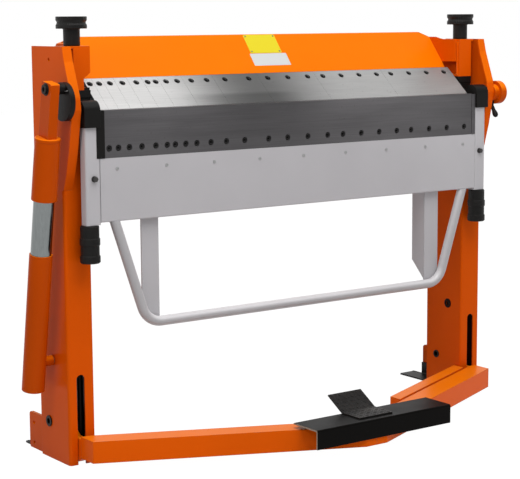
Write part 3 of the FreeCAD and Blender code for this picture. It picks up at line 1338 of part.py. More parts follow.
def pedal_brace():
    """Second box tube along the right arm, tied to it by two short packers."""
    near_side = PEDAL_ARM_WIDTH + BRACE_GROOVE
    tube = profile_z(brace_outline(0), PEDAL_LOW_Z, PEDAL_HIGH_Z)
    hollow = profile_z(brace_outline(PEDAL_WALL), PEDAL_LOW_Z + PEDAL_WALL, PEDAL_HIGH_Z - PEDAL_WALL)
    ties = []
    for low in (BRACE_NEAR_X, BRACE_FAR_X - BRACE_TIE_IN - BRACE_TIE_LENGTH):
        high = low + BRACE_TIE_LENGTH
        tie = profile_z(
            (
                (low, arm_line(low, PEDAL_ARM_WIDTH)),
                (high, arm_line(high, PEDAL_ARM_WIDTH)),
                (high, arm_line(high, near_side)),
                (low, arm_line(low, near_side)),
            ),
            PEDAL_LOW_Z + BRACE_TIE_FOOT,
            PEDAL_LOW_Z + BRACE_TIE_FOOT + BRACE_TIE_HEIGHT,
        )
        ties.append(tie)
    return tube.cut(hollow).fuse(ties)


def pedal_cover():
    """Folded guard plate over the pedal's nose, on two packers."""
    low_y = PEDAL_APEX_Y - COVER_PLATE
    plate = COVER_PLATE
    outline = (
        (low_y, COVER_LOW_Z),
        (low_y, COVER_TOP_Z, COVER_FOLD),
        (COVER_REAR_Y, COVER_TOP_Z),
        (COVER_REAR_Y, COVER_TOP_Z - plate),
        (PEDAL_APEX_Y, COVER_TOP_Z - plate, COVER_FOLD - plate),
        (PEDAL_APEX_Y, COVER_LOW_Z),
    )
    sheet = profile_x(outline, COVER_LEFT_X, COVER_RIGHT_X)
    packer = box(
        (PACKER_X - PACKER_LENGTH / 2, PACKER_X + PACKER_LENGTH / 2),
        (arm_line(PACKER_X, PACKER_IN), COVER_REAR_Y),
        (PEDAL_HIGH_Z, COVER_TOP_Z - plate),
    )
    return sheet.fuse([packer, mirrored(packer)])


def pedal_tread():
    """Foot plate: flat on the cover, then sloping up to the rear."""
    slope = math.radians(TREAD_ANGLE)
    plate = COVER_PLATE
    end_y = TREAD_BEND_Y + TREAD_SLOPE_LENGTH * math.cos(slope)
    end_z = COVER_TOP_Z + TREAD_SLOPE_LENGTH * math.sin(slope)
    outline = (
        (TREAD_FRONT_Y, COVER_TOP_Z),
        (TREAD_BEND_Y, COVER_TOP_Z),
        (end_y, end_z),
        (end_y - plate * math.sin(slope), end_z + plate * math.cos(slope)),
        (TREAD_BEND_Y - plate * math.tan(slope / 2), COVER_TOP_Z + plate),
        (TREAD_FRONT_Y, COVER_TOP_Z + plate),
    )
    return profile_x(outline, TREAD_LEFT_X, TREAD_RIGHT_X)


keep_pair("pedal_arm", pedal_arm())
keep_pair("pedal_lever", pedal_lever())
keep("pedal_brace", pedal_brace())
keep("pedal_cover", pedal_cover())
keep("pedal_tread", pedal_tread())
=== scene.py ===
import math

import bmesh
import bpy
from mathutils import Matrix, Vector


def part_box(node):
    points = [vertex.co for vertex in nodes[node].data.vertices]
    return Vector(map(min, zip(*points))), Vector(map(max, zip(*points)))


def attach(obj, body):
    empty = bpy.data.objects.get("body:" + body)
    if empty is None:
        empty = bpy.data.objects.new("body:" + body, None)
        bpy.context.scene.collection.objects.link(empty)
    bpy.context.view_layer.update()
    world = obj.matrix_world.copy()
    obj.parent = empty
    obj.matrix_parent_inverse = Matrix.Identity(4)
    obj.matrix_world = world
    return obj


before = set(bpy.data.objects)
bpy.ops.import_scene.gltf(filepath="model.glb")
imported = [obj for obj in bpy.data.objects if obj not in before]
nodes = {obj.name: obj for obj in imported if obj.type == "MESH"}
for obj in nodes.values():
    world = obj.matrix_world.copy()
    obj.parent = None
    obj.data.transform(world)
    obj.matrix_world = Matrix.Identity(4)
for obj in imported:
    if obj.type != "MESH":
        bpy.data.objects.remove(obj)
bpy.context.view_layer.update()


# Stands, head plates and bed: folded and welded steel plate, sprayed with thick glossy orange enamel.
# The effects made here for the enamel, its edges and its dust serve the other finishes too.
def effect(name, takes, gives):
    """An empty shader node group. takes and gives list (socket, kind) or (socket, kind, starting value)."""
    tree = bpy.data.node_groups.new(name, "ShaderNodeTree")
    for side, sockets in (("INPUT", takes), ("OUTPUT", gives)):
        for label, kind, *start in sockets:
            socket = tree.interface.new_socket(label, in_out=side, socket_type="NodeSocket" + kind)
            if start:
                socket.default_value = start[0]
    tree.nodes.new("NodeGroupOutput")
    return tree, tree.nodes.new("NodeGroupInput").outputs


def add(tree, kind, takes=None, **settings):
    """Adds a shader node. takes gives its inputs by name or number: a value, or another node's output."""
    node = tree.nodes.new("ShaderNode" + kind)
    for setting, value in settings.items():
        setattr(node, setting, value)
    for socket, value in (takes or {}).items():
        if isinstance(value, bpy.types.NodeSocket):
            tree.links.new(value, node.inputs[socket])
        else:
            node.inputs[socket].default_value = value
    return node


def place(tree, group, **takes):
    """Puts an effect in a material or in another effect, and gives back its outputs."""
    inputs = {socket.replace("_", " "): value for socket, value in takes.items()}
    return add(tree, "Group", inputs, node_tree=group).outputs


def join(tree, **sockets):
    """Links outputs to the group's own output sockets."""
    gives = next(node for node in tree.nodes if node.type == "GROUP_OUTPUT").inputs
    for socket, value in sockets.items():
        tree.links.new(value, gives[socket])


def maths(tree, operation, *terms):
    """What a Math node makes of its terms."""
    return add(tree, "Math", dict(enumerate(terms)), operation=operation).outputs["Value"]


def span(tree, value, start, end, low=0.0, high=1.0):
    """How far a value has come from start to end, as a number from low to high."""
    takes = {"Value": value, "From Min": start, "From Max": end, "To Min": low, "To Max": high}
    return add(tree, "MapRange", takes).outputs["Result"]


def noise(tree, vector, scale, detail, **more):
    """Smooth random values between 0 and 1."""
    return add(tree, "TexNoise", {"Vector": vector, "Scale": scale, "Detail": detail, **more}).outputs["Fac"]


def swing(tree, value):
    """Noise spread out to run from -1 to 1."""
    return span(tree, value, start=0.3, end=0.7, low=-1.0)


def stretched(tree, vector, factors):
    """A place whose three parts are each multiplied by a factor."""
    return add(tree, "VectorMath", {0: vector, 1: factors}, operation="MULTIPLY").outputs["Vector"]


def toned(tree, colour, factor):
    """A colour made lighter or darker by a factor."""
    return add(tree, "VectorMath", {0: colour, "Scale": factor}, operation="SCALE").outputs["Vector"]


def blend(tree, factor, first, second):
    """The colour that lies that share of the way from the first to the second."""
    mix = add(tree, "Mix", {"Factor": factor, "A": first, "B": second}, data_type="RGBA")
    return next(socket for socket in mix.outputs if socket.type == "RGBA")


def surface_place(tree):
    """The shaded point's place in metres: in the machine on a CAD node, in its own piece on a fastener."""
    return add(tree, "TexCoord").outputs["Object"]


def split(tree, vector):
    """The X, Y and Z parts of a vector."""
    return add(tree, "SeparateXYZ", {0: vector}).outputs


def face_turn(tree):
    """The way that the face looks, as X, Y and Z parts."""
    return split(tree, add(tree, "NewGeometry").outputs["Normal"])


def make_edge_rub():
    """Rounded normal at the edges of a piece, and a mask of the edges that hands and sheets rub."""
    tree, takes = effect("Edge rub", [("Radius", "Float", 0.001)], [("Mask", "Float"), ("Normal", "Vector")])
    rounded = add(tree, "Bevel", {"Radius": takes["Radius"]}, samples=4).outputs["Normal"]
    true = add(tree, "NewGeometry").outputs["Normal"]
    facing = add(tree, "VectorMath", {0: rounded, 1: true}, operation="DOT_PRODUCT").outputs["Value"]
    edge = span(tree, facing, start=0.97, end=0.76)
    patches = span(tree, noise(tree, surface_place(tree), scale=55.0, detail=4.0), start=0.42, end=0.62)
    join(tree, Mask=maths(tree, "MULTIPLY", edge, patches), Normal=rounded)
    return tree


def make_sprayed_coat():
    """Sprayed enamel: painted light on faces that look up, slow changes of tone, the spray's skin, and what
    shows where rubbed.
    """
    tree, takes = effect(
        "Sprayed coat",
        [
            ("Paint", "Color", (0.5, 0.5, 0.5, 1.0)),
            ("Top", "Color", (0.5, 0.5, 0.5, 1.0)),
            ("Under", "Color", (0.3, 0.3, 0.3, 1.0)),
            ("Rub", "Float", 0.0),
            ("Wear", "Float", 1.0),
            ("Cut", "Float", 0.0),
            ("Mottle", "Float", 0.06),
            ("Gloss", "Float", 0.3),
            ("Skin", "Float", 260.0),
        ],
        [("Colour", "Color"), ("Roughness", "Float"), ("Height", "Float")],
    )
    place_on = surface_place(tree)
    facing = face_turn(tree)
    # painted light: faces that look up blend towards the lighter top tone
    painted_top_light = span(tree, facing["Z"], start=0.1, end=0.6)
    paint = blend(tree, painted_top_light, takes["Paint"], takes["Top"])
    clouds = noise(tree, place_on, scale=4.5, detail=3.0)
    shift = maths(tree, "MULTIPLY_ADD", swing(tree, clouds), takes["Mottle"], 1.0)
    endwise = span(tree, maths(tree, "ABSOLUTE", facing["X"]), start=0.9, end=0.98)
    sawn = maths(tree, "MULTIPLY", endwise, takes["Cut"])
    rubbed = maths(tree, "MULTIPLY", takes["Rub"], takes["Wear"])
    bare = maths(tree, "MAXIMUM", sawn, rubbed)
    colour = blend(tree, bare, toned(tree, paint, shift), takes["Under"])
    fine_skin = noise(tree, place_on, takes["Skin"], detail=1.0)
    smears = noise(tree, place_on, scale=14.0, detail=5.0)
    smeared = span(tree, smears, start=0.2, end=0.8, low=-0.03, high=0.05)
    rough = maths(tree, "ADD", smeared, takes["Gloss"])
    join(tree, Colour=colour, Roughness=rough, Height=fine_skin)
    return tree


def make_settled_dust():
    """Thin dust on faces that look up, thicker in patches."""
    tree, takes = effect(
        "Settled dust",
        [
            ("Colour", "Color", (0.5, 0.5, 0.5, 1.0)),
            ("Dust", "Color", (0.5, 0.47, 0.43, 1.0)),
            ("Amount", "Float", 0.1),
        ],
        [("Colour", "Color")],
    )
    level = span(tree, face_turn(tree)["Z"], start=0.75, end=1.0)
    patches = span(tree, noise(tree, surface_place(tree), scale=22.0, detail=6.0), start=0.35, end=0.75)
    lying = maths(tree, "MULTIPLY", maths(tree, "MULTIPLY", level, patches), takes["Amount"])
    join(tree, Colour=blend(tree, lying, takes["Colour"], takes["Dust"]))
    return tree


edge_rub = make_edge_rub()
sprayed_coat = make_sprayed_coat()
settled_dust = make_settled_dust()


def shader_of(material):
    """The node tree of a material and the shader in it."""
    tree = material.node_tree
    return tree, next(node for node in tree.nodes if node.type == "BSDF_PRINCIPLED")


def start_material(name):
    """A new material with its own shader, ready for its colours."""
    material = bpy.data.materials.new(name)
    material.use_nodes = True
    return material, *shader_of(material)


def dress(tree, shader, colour, roughness, height, deep, normal):
    """Gives a shader its colour, its roughness and a skin bumped by a height of the given depth in metres."""
    tree.links.new(colour, shader.inputs["Base Color"])
    tree.links.new(roughness, shader.inputs["Roughness"])
    bump = add(tree, "Bump", {"Strength": 1.0, "Distance": deep, "Height": height, "Normal": normal})
    tree.links.new(bump.outputs["Normal"], shader.inputs["Normal"])


SPRAY_DEPTH = 0.00003


def enamel(name, paint, under, gloss, edge, top=None, wear=1.0, cut=0.0, shine=0.3, mottle=0.03, dust=0.06):
    """Sprayed enamel. top is painted light, the lighter tone on faces that look up; edge is the radius to
    which it rounds an edge.

    wear is how far rubbed edges go down to the tone under it, and cut the same for sawn ends.
    """
    material, tree, shader = start_material(name)
    edges = place(tree, edge_rub, Radius=edge)
    coat = place(
        tree, sprayed_coat, Paint=paint, Top=top or paint, Under=under, Rub=edges["Mask"], Wear=wear, Cut=cut,
        Mottle=mottle, Gloss=gloss,
    )
    dusty = place(tree, settled_dust, Colour=coat["Colour"], Amount=dust)
    dress(tree, shader, dusty["Colour"], coat["Roughness"], coat["Height"], SPRAY_DEPTH, edges["Normal"])
    shader.inputs["Specular IOR Level"].default_value = shine
    return material


def finish_nodes(material, *names):
    """Gives CAD nodes their finish."""
    for name in names:
        slots = nodes[name].material_slots
        if not slots:
            nodes[name].data.materials.append(material)
        for slot in slots:
            slot.material = material


def both(*names):
    """The left and the right node of each name."""
    return [name + side for name in names for side in ("_left", "_right")]


orange_paint = (0.70, 0.090, 0.0004, 1.0)
# the top tone is painted light: faces that look up get a lighter, yellower orange in every plate spray
orange_painted_top_light = (0.90, 0.185, 0.0004, 1.0)
orange_primer = (0.52, 0.13, 0.045, 1.0)
plate_spray_with_painted_top = {"under": orange_primer, "gloss": 0.3, "edge": 0.0014, "top": orange_painted_top_light, "shine": 0.04}
orange_enamel = enamel("orange enamel", orange_paint, dust=0.008, **plate_spray_with_painted_top)
finish_nodes(orange_enamel, *both("head_plate", "anchor_plate"), "bed_beam")


def paint_hollow_shade(material):
    """Paints shade into the columns' hollow: the faces inside them get a near-black tone."""
    # the tone of the painted shade in the hollow
    hollow_painted_shade = (0.035, 0.006, 0.0015, 1.0)
    into_side, into_front = 0.0025, 0.003
    left_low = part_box("stand_left")[0]
    right_low, right_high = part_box("stand_right")
    mid_length = (left_low.x + right_high.x) / 2
    near = right_low.x - mid_length + into_side
    far = right_high.x - mid_length - into_side
    tree, shader = shader_of(material)
    place_on = split(tree, surface_place(tree))
    off_middle = maths(tree, "ABSOLUTE", maths(tree, "SUBTRACT", place_on["X"], mid_length))
    past_near = maths(tree, "GREATER_THAN", off_middle, near)
    before_far = maths(tree, "LESS_THAN", off_middle, far)
    behind_front = maths(tree, "GREATER_THAN", place_on["Y"], right_low.y + into_front)
    in_shaded_hollow = maths(tree, "MULTIPLY", maths(tree, "MULTIPLY", past_near, before_far), behind_front)
    outer_tone = shader.inputs["Base Color"].links[0].from_socket
    tree.links.new(blend(tree, in_shaded_hollow, outer_tone, hollow_painted_shade), shader.inputs["Base Color"])


# the columns' enamel has painted shade in their hollow and painted light on faces that look up
column_enamel_shaded_hollow = enamel("column enamel with painted hollow shade", orange_paint, dust=0.02, **plate_spray_with_painted_top)
paint_hollow_shade(column_enamel_shaded_hollow)
finish_nodes(column_enamel_shaded_hollow, *both("stand"))


# Bed bar: ground steel bar under the sheet, screwed on the bed beam. It keeps its lengthwise grinding lines.
# The strut's pin is drawn steel, the post bolts are blued, and pivot tubes and tie rods are blackened.
def make_ground_face():
    """Ground steel: fine lines along the piece, clouds left by the wheel, and small marks of handling."""
    tree, takes = effect(
        "Ground face",
        [
            ("Steel", "Color", (0.5, 0.5, 0.5, 1.0)),
            ("Lines", "Vector", (6.0, 700.0, 700.0)),
            ("Line contrast", "Float", 0.1),
            ("Clouds", "Float", 0.12),
            ("Marks", "Float", 0.25),
            ("Gloss", "Float", 0.3),
        ],
        [("Colour", "Color"), ("Roughness", "Float"), ("Height", "Float")],
    )
    mark_tone = (0.05, 0.045, 0.04, 1.0)
    cloud_stretch = (3.0, 22.0, 22.0)
    line_roughness = 0.18
    place_on = surface_place(tree)
    lines = noise(tree, stretched(tree, place_on, takes["Lines"]), scale=1.0, detail=3.0, Roughness=0.65)
    clouds = noise(tree, stretched(tree, place_on, cloud_stretch), scale=1.0, detail=4.0)
    specks = noise(tree, place_on, scale=130.0, detail=2.0)
    line_tone = maths(tree, "MULTIPLY_ADD", swing(tree, lines), takes["Line contrast"], 1.0)
    tone = maths(tree, "MULTIPLY_ADD", swing(tree, clouds), takes["Clouds"], line_tone)
    marked = maths(tree, "MULTIPLY", span(tree, specks, start=0.66, end=0.74), takes["Marks"])
    colour = blend(tree, marked, toned(tree, takes["Steel"], tone), mark_tone)
    rough = maths(tree, "MULTIPLY_ADD", lines, line_roughness, takes["Gloss"])
    join(tree, Colour=colour, Roughness=rough, Height=lines)
    return tree


ground_face = make_ground_face()
GRIND_DEPTH = 0.00001
STEEL_EDGE = 0.0006
BAR_LINES = (6.0, 700.0, 700.0)
ROUND_LINES = (60.0, 60.0, 6.0)


def bare_steel(name, steel, gloss, lines, metal=0.85, clouds=0.1, marks=0.2):
    """Bare steel with the lines of the tool that made it."""
    material, tree, shader = start_material(name)
    edges = place(tree, edge_rub, Radius=STEEL_EDGE)
    face = place(tree, ground_face, Steel=steel, Lines=lines, Clouds=clouds, Marks=marks, Gloss=gloss)
    dress(tree, shader, face["Colour"], face["Roughness"], face["Height"], GRIND_DEPTH, edges["Normal"])
    shader.inputs["Metallic"].default_value = metal
    return material


ground_steel = bare_steel("ground steel", (0.52, 0.52, 0.51, 1.0), 0.28, BAR_LINES)
drawn_steel = bare_steel("drawn steel", (0.42, 0.42, 0.42, 1.0), 0.22, ROUND_LINES, clouds=0.06)
blued_steel = bare_steel("blued steel", (0.075, 0.072, 0.07, 1.0), 0.3, ROUND_LINES, clouds=0.06)
black_steel = bare_steel("blackened steel", (0.016, 0.012, 0.01, 1.0), 0.45, ROUND_LINES, clouds=0.06)
finish_nodes(ground_steel, "bed_bar")
finish_nodes(drawn_steel, "strut_pin")
finish_nodes(blued_steel, "post_bolts")
finish_nodes(black_steel, *both("pedal_pivot", "tie_rod"))


# Rear feet: pressed angles in satin black, bolted behind the columns on the floor.
# The pressure blocks, the hinge blocks, the crank, the stop's lever and the strut's bolt have the same black.
satin_black = enamel(
    "satin black", (0.0075, 0.007, 0.0065, 1.0), (0.04, 0.038, 0.035, 1.0), gloss=0.42, edge=0.001,
    shine=0.13, dust=0.02,
)
finish_nodes(satin_black, *both("rear_foot", "beam_block", "hinge_block"))
finish_nodes(satin_black, "crank", "stop_lever", "strut_bolt")


# Grommets: black rubber rings that line the round hole low in each column's inner wall.
# Each is moulded in one piece and pressed into its hole, so that only its outer lip shows.
def turned(profile, sides):
    """Solid turned about Z from (radius, height) points that end on the axis or where they began."""
    shape = bmesh.new()
    verts = [shape.verts.new((radius, 0.0, height)) for radius, height in profile]
    edges = [shape.edges.new(pair) for pair in zip(verts, verts[1:])]
    bmesh.ops.spin(shape, geom=verts + edges, axis=(0, 0, 1), cent=(0, 0, 0), steps=sides, angle=2 * math.pi)
    bmesh.ops.remove_doubles(shape, verts=shape.verts, dist=1e-6)
    return shape


def to_mesh(shape, name, smooth=0.0):
    """Turns a bmesh into mesh data. smooth is the angle in degrees below which edges shade smoothly."""
    mesh_data = bpy.data.meshes.new(name)
    bmesh.ops.recalc_face_normals(shape, faces=shape.faces)
    shape.to_mesh(mesh_data)
    shape.free()
    if smooth:
        mesh_data.shade_smooth()
        mesh_data.set_sharp_from_angle(angle=math.radians(smooth))
    return mesh_data


def new_piece(name, mesh_data, body, placing=Matrix()):
    """Links a finished mesh as a piece that rides on a body."""
    piece = bpy.data.objects.new(name, mesh_data)
    piece.matrix_world = placing
    bpy.context.scene.collection.objects.link(piece)
    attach(piece, body)


def set_fastener(name, mesh_data, point, outward, body):
    """Puts a small round piece on its seat, with its Z axis outward."""
    turn = outward.to_track_quat("Z", "Y").to_matrix().to_4x4()
    new_piece(name, mesh_data, body, placing=Matrix.Translation(point) @ turn)


rubber = enamel(
    "grommet rubber", (0.010, 0.005, 0.0045, 1.0), (0.02, 0.01, 0.01, 1.0), gloss=0.6, edge=0.0006,
    shine=0.06, dust=0.0,
)
HOLE_BACK, HOLE_UP = 0.059, 0.270
GROMMET_RING = [
    (0.0072, -0.0005), (0.0072, 0.0012), (0.0090, 0.0026), (0.0126, 0.0026), (0.0145, 0.0012),
    (0.0145, -0.0005), (0.0072, -0.0005),
]
grommet_mesh = to_mesh(turned(GROMMET_RING, sides=40), "grommet", smooth=40)
grommet_mesh.materials.append(rubber)
for side, wall, outward in (("_left", 1, 1.0), ("_right", 0, -1.0)):
    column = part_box("stand" + side)
    seat = Vector((column[wall].x, column[0].y + HOLE_BACK, HOLE_UP))
    set_fastener("column_grommet" + side, grommet_mesh, seat, Vector((outward, 0.0, 0.0)), "stand")


# Clamping beam and its end brackets: one welded box in the same orange. A thin enamelled plate, fixed by four
# rivets, and a vinyl label under it sit near the middle of its sloping front. Both are plain.
finish_nodes(orange_enamel, "upper_beam", *both("beam_bracket"))

ACROSS = Vector((1.0, 0.0, 0.0))
FORWARD = Vector((0.0, -1.0, 0.0))
BEAD_SIDES = 10


def skin_rings(shape, rings):
    """Closes the walls between rings of corners, and the two ends."""
    for lower, upper in zip(rings, rings[1:]):
        for corner in range(len(lower)):
            after = (corner + 1) % len(lower)
            shape.faces.new((lower[corner], lower[after], upper[after], upper[corner]))
    shape.faces.new(list(reversed(rings[0])))
    shape.faces.new(rings[-1])


def round_ring(shape, middle, turn, radius):
    """A ring of corners round a point of a bead or a wire."""
    ring = []
    for side in range(BEAD_SIDES):
        angle = 2 * math.pi * side / BEAD_SIDES
        ring.append(shape.verts.new(middle + turn @ Vector((math.cos(angle), math.sin(angle), 0.0)) * radius))
    return ring


def weld_bead(start, end, radius):
    """A run of weld between two points: a round bead that swells at each ripple and thins at its ends."""
    ripple, steps_in_ripple, swelling, end_share = 0.004, 3, 0.12, 0.35
    run = end - start
    turn = run.to_track_quat("Z", "Y").to_matrix()
    shape = bmesh.new()
    rings = []
    steps = max(4, int(run.length / ripple) * steps_in_ripple)
    for step in range(steps + 1):
        swell = radius * (1.0 + swelling * math.sin(2 * math.pi * step / steps_in_ripple))
        if step in (0, steps):
            swell = radius * end_share
        rings.append(round_ring(shape, start + run * (step / steps), turn, swell))
    skin_rings(shape, rings)
    return to_mesh(shape, "weld", smooth=60)


# a weld bead runs up the inner edge of each bracket's front plate. The left one starts above the cut corner
BEAD_RADIUS = 0.0034
BEAD_BACK, BEAD_BELOW_TOP, BEAD_FOOT = 0.0088, 0.007, 0.004
CUT_CORNER = 0.046
for side, foot in (("_left", CUT_CORNER), ("_right", BEAD_FOOT)):
    low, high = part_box("beam_bracket" + side)
    inner = high.x if side == "_left" else low.x
    bead_start = Vector((inner, low.y + BEAD_BACK, low.z + foot))
    bead_end = Vector((inner, low.y + BEAD_BACK, high.z - BEAD_BELOW_TOP))
    bead_mesh = weld_bead(bead_start, bead_end, BEAD_RADIUS)
    bead_mesh.materials.append(orange_enamel)
    new_piece("bracket_weld" + side, bead_mesh, "clamp_beam")


def thin_plate(name, corners, outward, thick, rounding, material):
    """A flat plate with rounded corners through four corners, raised off the surface that it lies on."""
    shape = bmesh.new()
    face = shape.faces.new([shape.verts.new(corner) for corner in corners])
    bmesh.ops.bevel(shape, geom=face.verts[:], offset=rounding, segments=4, profile=0.5, affect="VERTICES")
    top = bmesh.ops.extrude_face_region(shape, geom=shape.faces[:])["geom"]
    raised = [part for part in top if isinstance(part, bmesh.types.BMVert)]
    bmesh.ops.translate(shape, verts=raised, vec=outward * thick)
    plate_mesh = to_mesh(shape, name, smooth=40)
    plate_mesh.materials.append(material)
    return plate_mesh


def upright_corners(left, right, y, low, high):
    """Corners of a plate that stands across the machine, in metres."""
    return [Vector(corner) for corner in ((left, y, low), (right, y, low), (right, y, high), (left, y, high))]


# the cut corner of the left bracket ends on a black strip that covers the edge of the bracket's bottom plate
STRIP_LENGTH, STRIP_HEIGHT, STRIP_THICK, STRIP_ROUNDING = 0.0187, 0.0066, 0.0016, 0.0008
STRIP_IN, STRIP_BACK = 0.0002, 0.0060
low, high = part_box("beam_bracket_left")
strip_right = high.x - STRIP_IN
strip_face = upright_corners(
    strip_right - STRIP_LENGTH, strip_right, low.y + STRIP_BACK, low.z, low.z + STRIP_HEIGHT
)
strip_mesh = thin_plate("bracket strip", strip_face, FORWARD, STRIP_THICK, STRIP_ROUNDING, satin_black)
new_piece("bracket_strip_left", strip_mesh, "clamp_beam")

# a black lip hangs from the front of each pressure block and closes the gap over the hinge block
LIP_IN, LIP_DROP, LIP_LAP, LIP_THICK, LIP_SUNK, LIP_ROUNDING = 0.0015, 0.021, 0.0005, 0.007, 0.001, 0.0015
for side in ("_left", "_right"):
    low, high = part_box("beam_block" + side)
    lip_face = upright_corners(
        low.x + LIP_IN, high.x - LIP_IN, low.y + LIP_THICK + LIP_SUNK, low.z - LIP_DROP, low.z + LIP_LAP
    )
    lip_mesh = thin_plate("block lip", lip_face, FORWARD, LIP_THICK, LIP_ROUNDING, satin_black)
    new_piece("block_lip" + side, lip_mesh, "clamp_beam")

BEAM_FACE_HIGH, BEAM_FACE_DEEP = 0.107, 0.085
BEAM_FACE_FOOT = Vector((0.0, 0.1115, 1.005))
beam_slope = math.atan2(BEAM_FACE_HIGH, BEAM_FACE_DEEP)
beam_rise = Vector((0.0, math.cos(beam_slope), math.sin(beam_slope)))
beam_out = Vector((0.0, -math.sin(beam_slope), math.cos(beam_slope)))


def on_beam(along, up, out=0.0):
    """A point on the beam's sloping face: metres from mid length, up from its lower edge, and out of it."""
    return BEAM_FACE_FOOT + ACROSS * along + beam_rise * up + beam_out * out


def beam_label(name, left, right, low, high, thick, rounding, material):
    """A plain plate or label on the beam's face, between two places along it and two up it."""
    corners = [on_beam(left, low), on_beam(right, low), on_beam(right, high), on_beam(left, high)]
    return thin_plate(name, corners, beam_out, thick, rounding, material)


yellow_sheet = enamel(
    "yellow plate", (0.75, 0.62, 0.008, 1.0), (0.6, 0.6, 0.58, 1.0), gloss=0.3, edge=0.0004,
    mottle=0.02, dust=0.0,
)
white_vinyl = enamel(
    "white vinyl", (0.62, 0.63, 0.63, 1.0), (0.7, 0.7, 0.7, 1.0), gloss=0.4, edge=0.0002,
    mottle=0.015, dust=0.0,
)
PLATE_LEFT, PLATE_RIGHT, PLATE_LOW, PLATE_HIGH = -0.042, 0.067, 0.069, 0.1345
LABEL_LEFT, LABEL_RIGHT, LABEL_LOW, LABEL_HIGH = -0.0465, 0.080, 0.0255, 0.068
PLATE_THICK, LABEL_THICK = 0.0008, 0.0002
PLATE_ROUNDING, LABEL_ROUNDING = 0.004, 0.002
plate_mesh = beam_label(
    "plain plate", PLATE_LEFT, PLATE_RIGHT, PLATE_LOW, PLATE_HIGH, PLATE_THICK, PLATE_ROUNDING, yellow_sheet
)
label_mesh = beam_label(
    "plain label", LABEL_LEFT, LABEL_RIGHT, LABEL_LOW, LABEL_HIGH, LABEL_THICK, LABEL_ROUNDING, white_vinyl
)
new_piece("beam_plate", plate_mesh, "clamp_beam")
new_piece("beam_sticker", label_mesh, "clamp_beam")

rivet_steel = bare_steel("rivet head", (0.22, 0.2, 0.16, 1.0), 0.3, lines=(200.0, 200.0, 200.0), metal=1.0)
RIVET_INSET, RIVET_SUNK = 0.006, 0.0001
RIVET_HEAD = [(0, 0), (0.0026, 0), (0.0024, 0.0009), (0.0015, 0.0016), (0, 0.0019)]
rivet_mesh = to_mesh(turned(RIVET_HEAD, sides=20), "rivet", smooth=50)
rivet_mesh.materials.append(rivet_steel)
rivet_places = [
    (along, up)
    for along in (PLATE_LEFT + RIVET_INSET, PLATE_RIGHT - RIVET_INSET)
    for up in (PLATE_LOW + RIVET_INSET, PLATE_HIGH - RIVET_INSET)
]
for count, (along, up) in enumerate(rivet_places, 1):
    seat = on_beam(along, up, PLATE_THICK - RIVET_SUNK)
    set_fastener(f"plate_rivet_{count}", rivet_mesh, seat, beam_out, "clamp_beam")


# Clamping segments: twelve hardened steel fingers, ground all over, each held on the beam by black socket
# screws in deep pockets. Their tone along the row is partly the steel's own and partly painted reflection.
row_left, row_right = (corner.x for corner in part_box("bending_bar"))


def tone_along(tree, along, tones, cast=(1.0, 1.0, 1.0), between="LINEAR"):
    """Tone that changes along the row of segments, through (share of its length, tone) pairs."""
    ramp = add(tree, "ValToRGB", {"Fac": span(tree, along, row_left, row_right)})
    ramp.color_ramp.interpolation = between
    stops = ramp.color_ramp.elements
    for share, _ in tones[1:-1]:
        stops.new(share)
    for stop, (_, tone) in zip(stops, tones):
        stop.color = (*(tone * part for part in cast), 1.0)
    return ramp.outputs["Color"]


# painted reflection: the segments' tone along the row holds the steel's own tone and the studio's reflection
SEGMENT_TONE_AND_REFLECTION = (
    (0.0, 0.60), (0.17, 0.57), (0.25, 0.38), (0.33, 0.16), (0.41, 0.10), (0.49, 0.15),
    (0.58, 0.32), (0.68, 0.40), (0.82, 0.39), (0.92, 0.335), (1.0, 0.35),
)
SEGMENT_CAST = (1.0, 0.995, 0.985)
# painted reflection: a dark band low on the noses of the middle segments, between these heights and places
# along the row
REFLECTION_BAND_TOP, REFLECTION_BAND_FULL = 0.0295, 0.0215
REFLECTION_BAND_LEFT, REFLECTION_BAND_RIGHT = (-0.35, -0.22), (0.05, -0.04)
# how far the painted reflection band darkens the steel, and the painted shade on flanks that face left
REFLECTION_BAND_DARKENS, FLANK_SHADE_TONE = 0.36, 0.05


def segment_steel():
    """Ground steel with a painted dark reflection low on the noses of the middle segments and painted shade
    on the left flanks.
    """
    material, tree, shader = start_material("segment steel")
    place_on = split(tree, surface_place(tree))
    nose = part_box("finger_01")[0].z
    # the painted dark reflection band
    low_down = span(tree, place_on["Z"], start=nose + REFLECTION_BAND_TOP, end=nose + REFLECTION_BAND_FULL)
    from_left = span(tree, place_on["X"], *REFLECTION_BAND_LEFT)
    from_right = span(tree, place_on["X"], *REFLECTION_BAND_RIGHT)
    dark_reflection_band = maths(tree, "MULTIPLY", maths(tree, "MULTIPLY", low_down, from_left), from_right)
    past_dark_reflection = maths(tree, "MULTIPLY_ADD", dark_reflection_band, -REFLECTION_BAND_DARKENS, 1.0)
    # painted shade: faces that look left go near black
    flank_shade = span(tree, face_turn(tree)["X"], start=-0.9, end=-0.98, low=1.0, high=FLANK_SHADE_TONE)
    tones = tone_along(tree, place_on["X"], SEGMENT_TONE_AND_REFLECTION, SEGMENT_CAST, between="B_SPLINE")
    steel = toned(tree, tones, maths(tree, "MULTIPLY", past_dark_reflection, flank_shade))
    edges = place(tree, edge_rub, Radius=0.0005)
    face = place(
        tree, ground_face, Steel=steel, Lines=(9.0, 500.0, 500.0), Line_contrast=0.07, Clouds=0.06,
        Marks=0.16, Gloss=0.34,
    )
    dress(tree, shader, face["Colour"], face["Roughness"], face["Height"], GRIND_DEPTH, edges["Normal"])
    shader.inputs["Metallic"].default_value = 0.4
    shader.inputs["Specular IOR Level"].default_value = 0.2
    return material


SEGMENTS = [f"finger_{number:02d}" for number in range(1, 13)]
finish_nodes(segment_steel(), *SEGMENTS)

black_oxide = enamel(
    "black oxide", (0.014, 0.013, 0.013, 1.0), (0.06, 0.055, 0.05, 1.0), gloss=0.35, edge=0.0004, shine=0.25,
    dust=0.0,
)


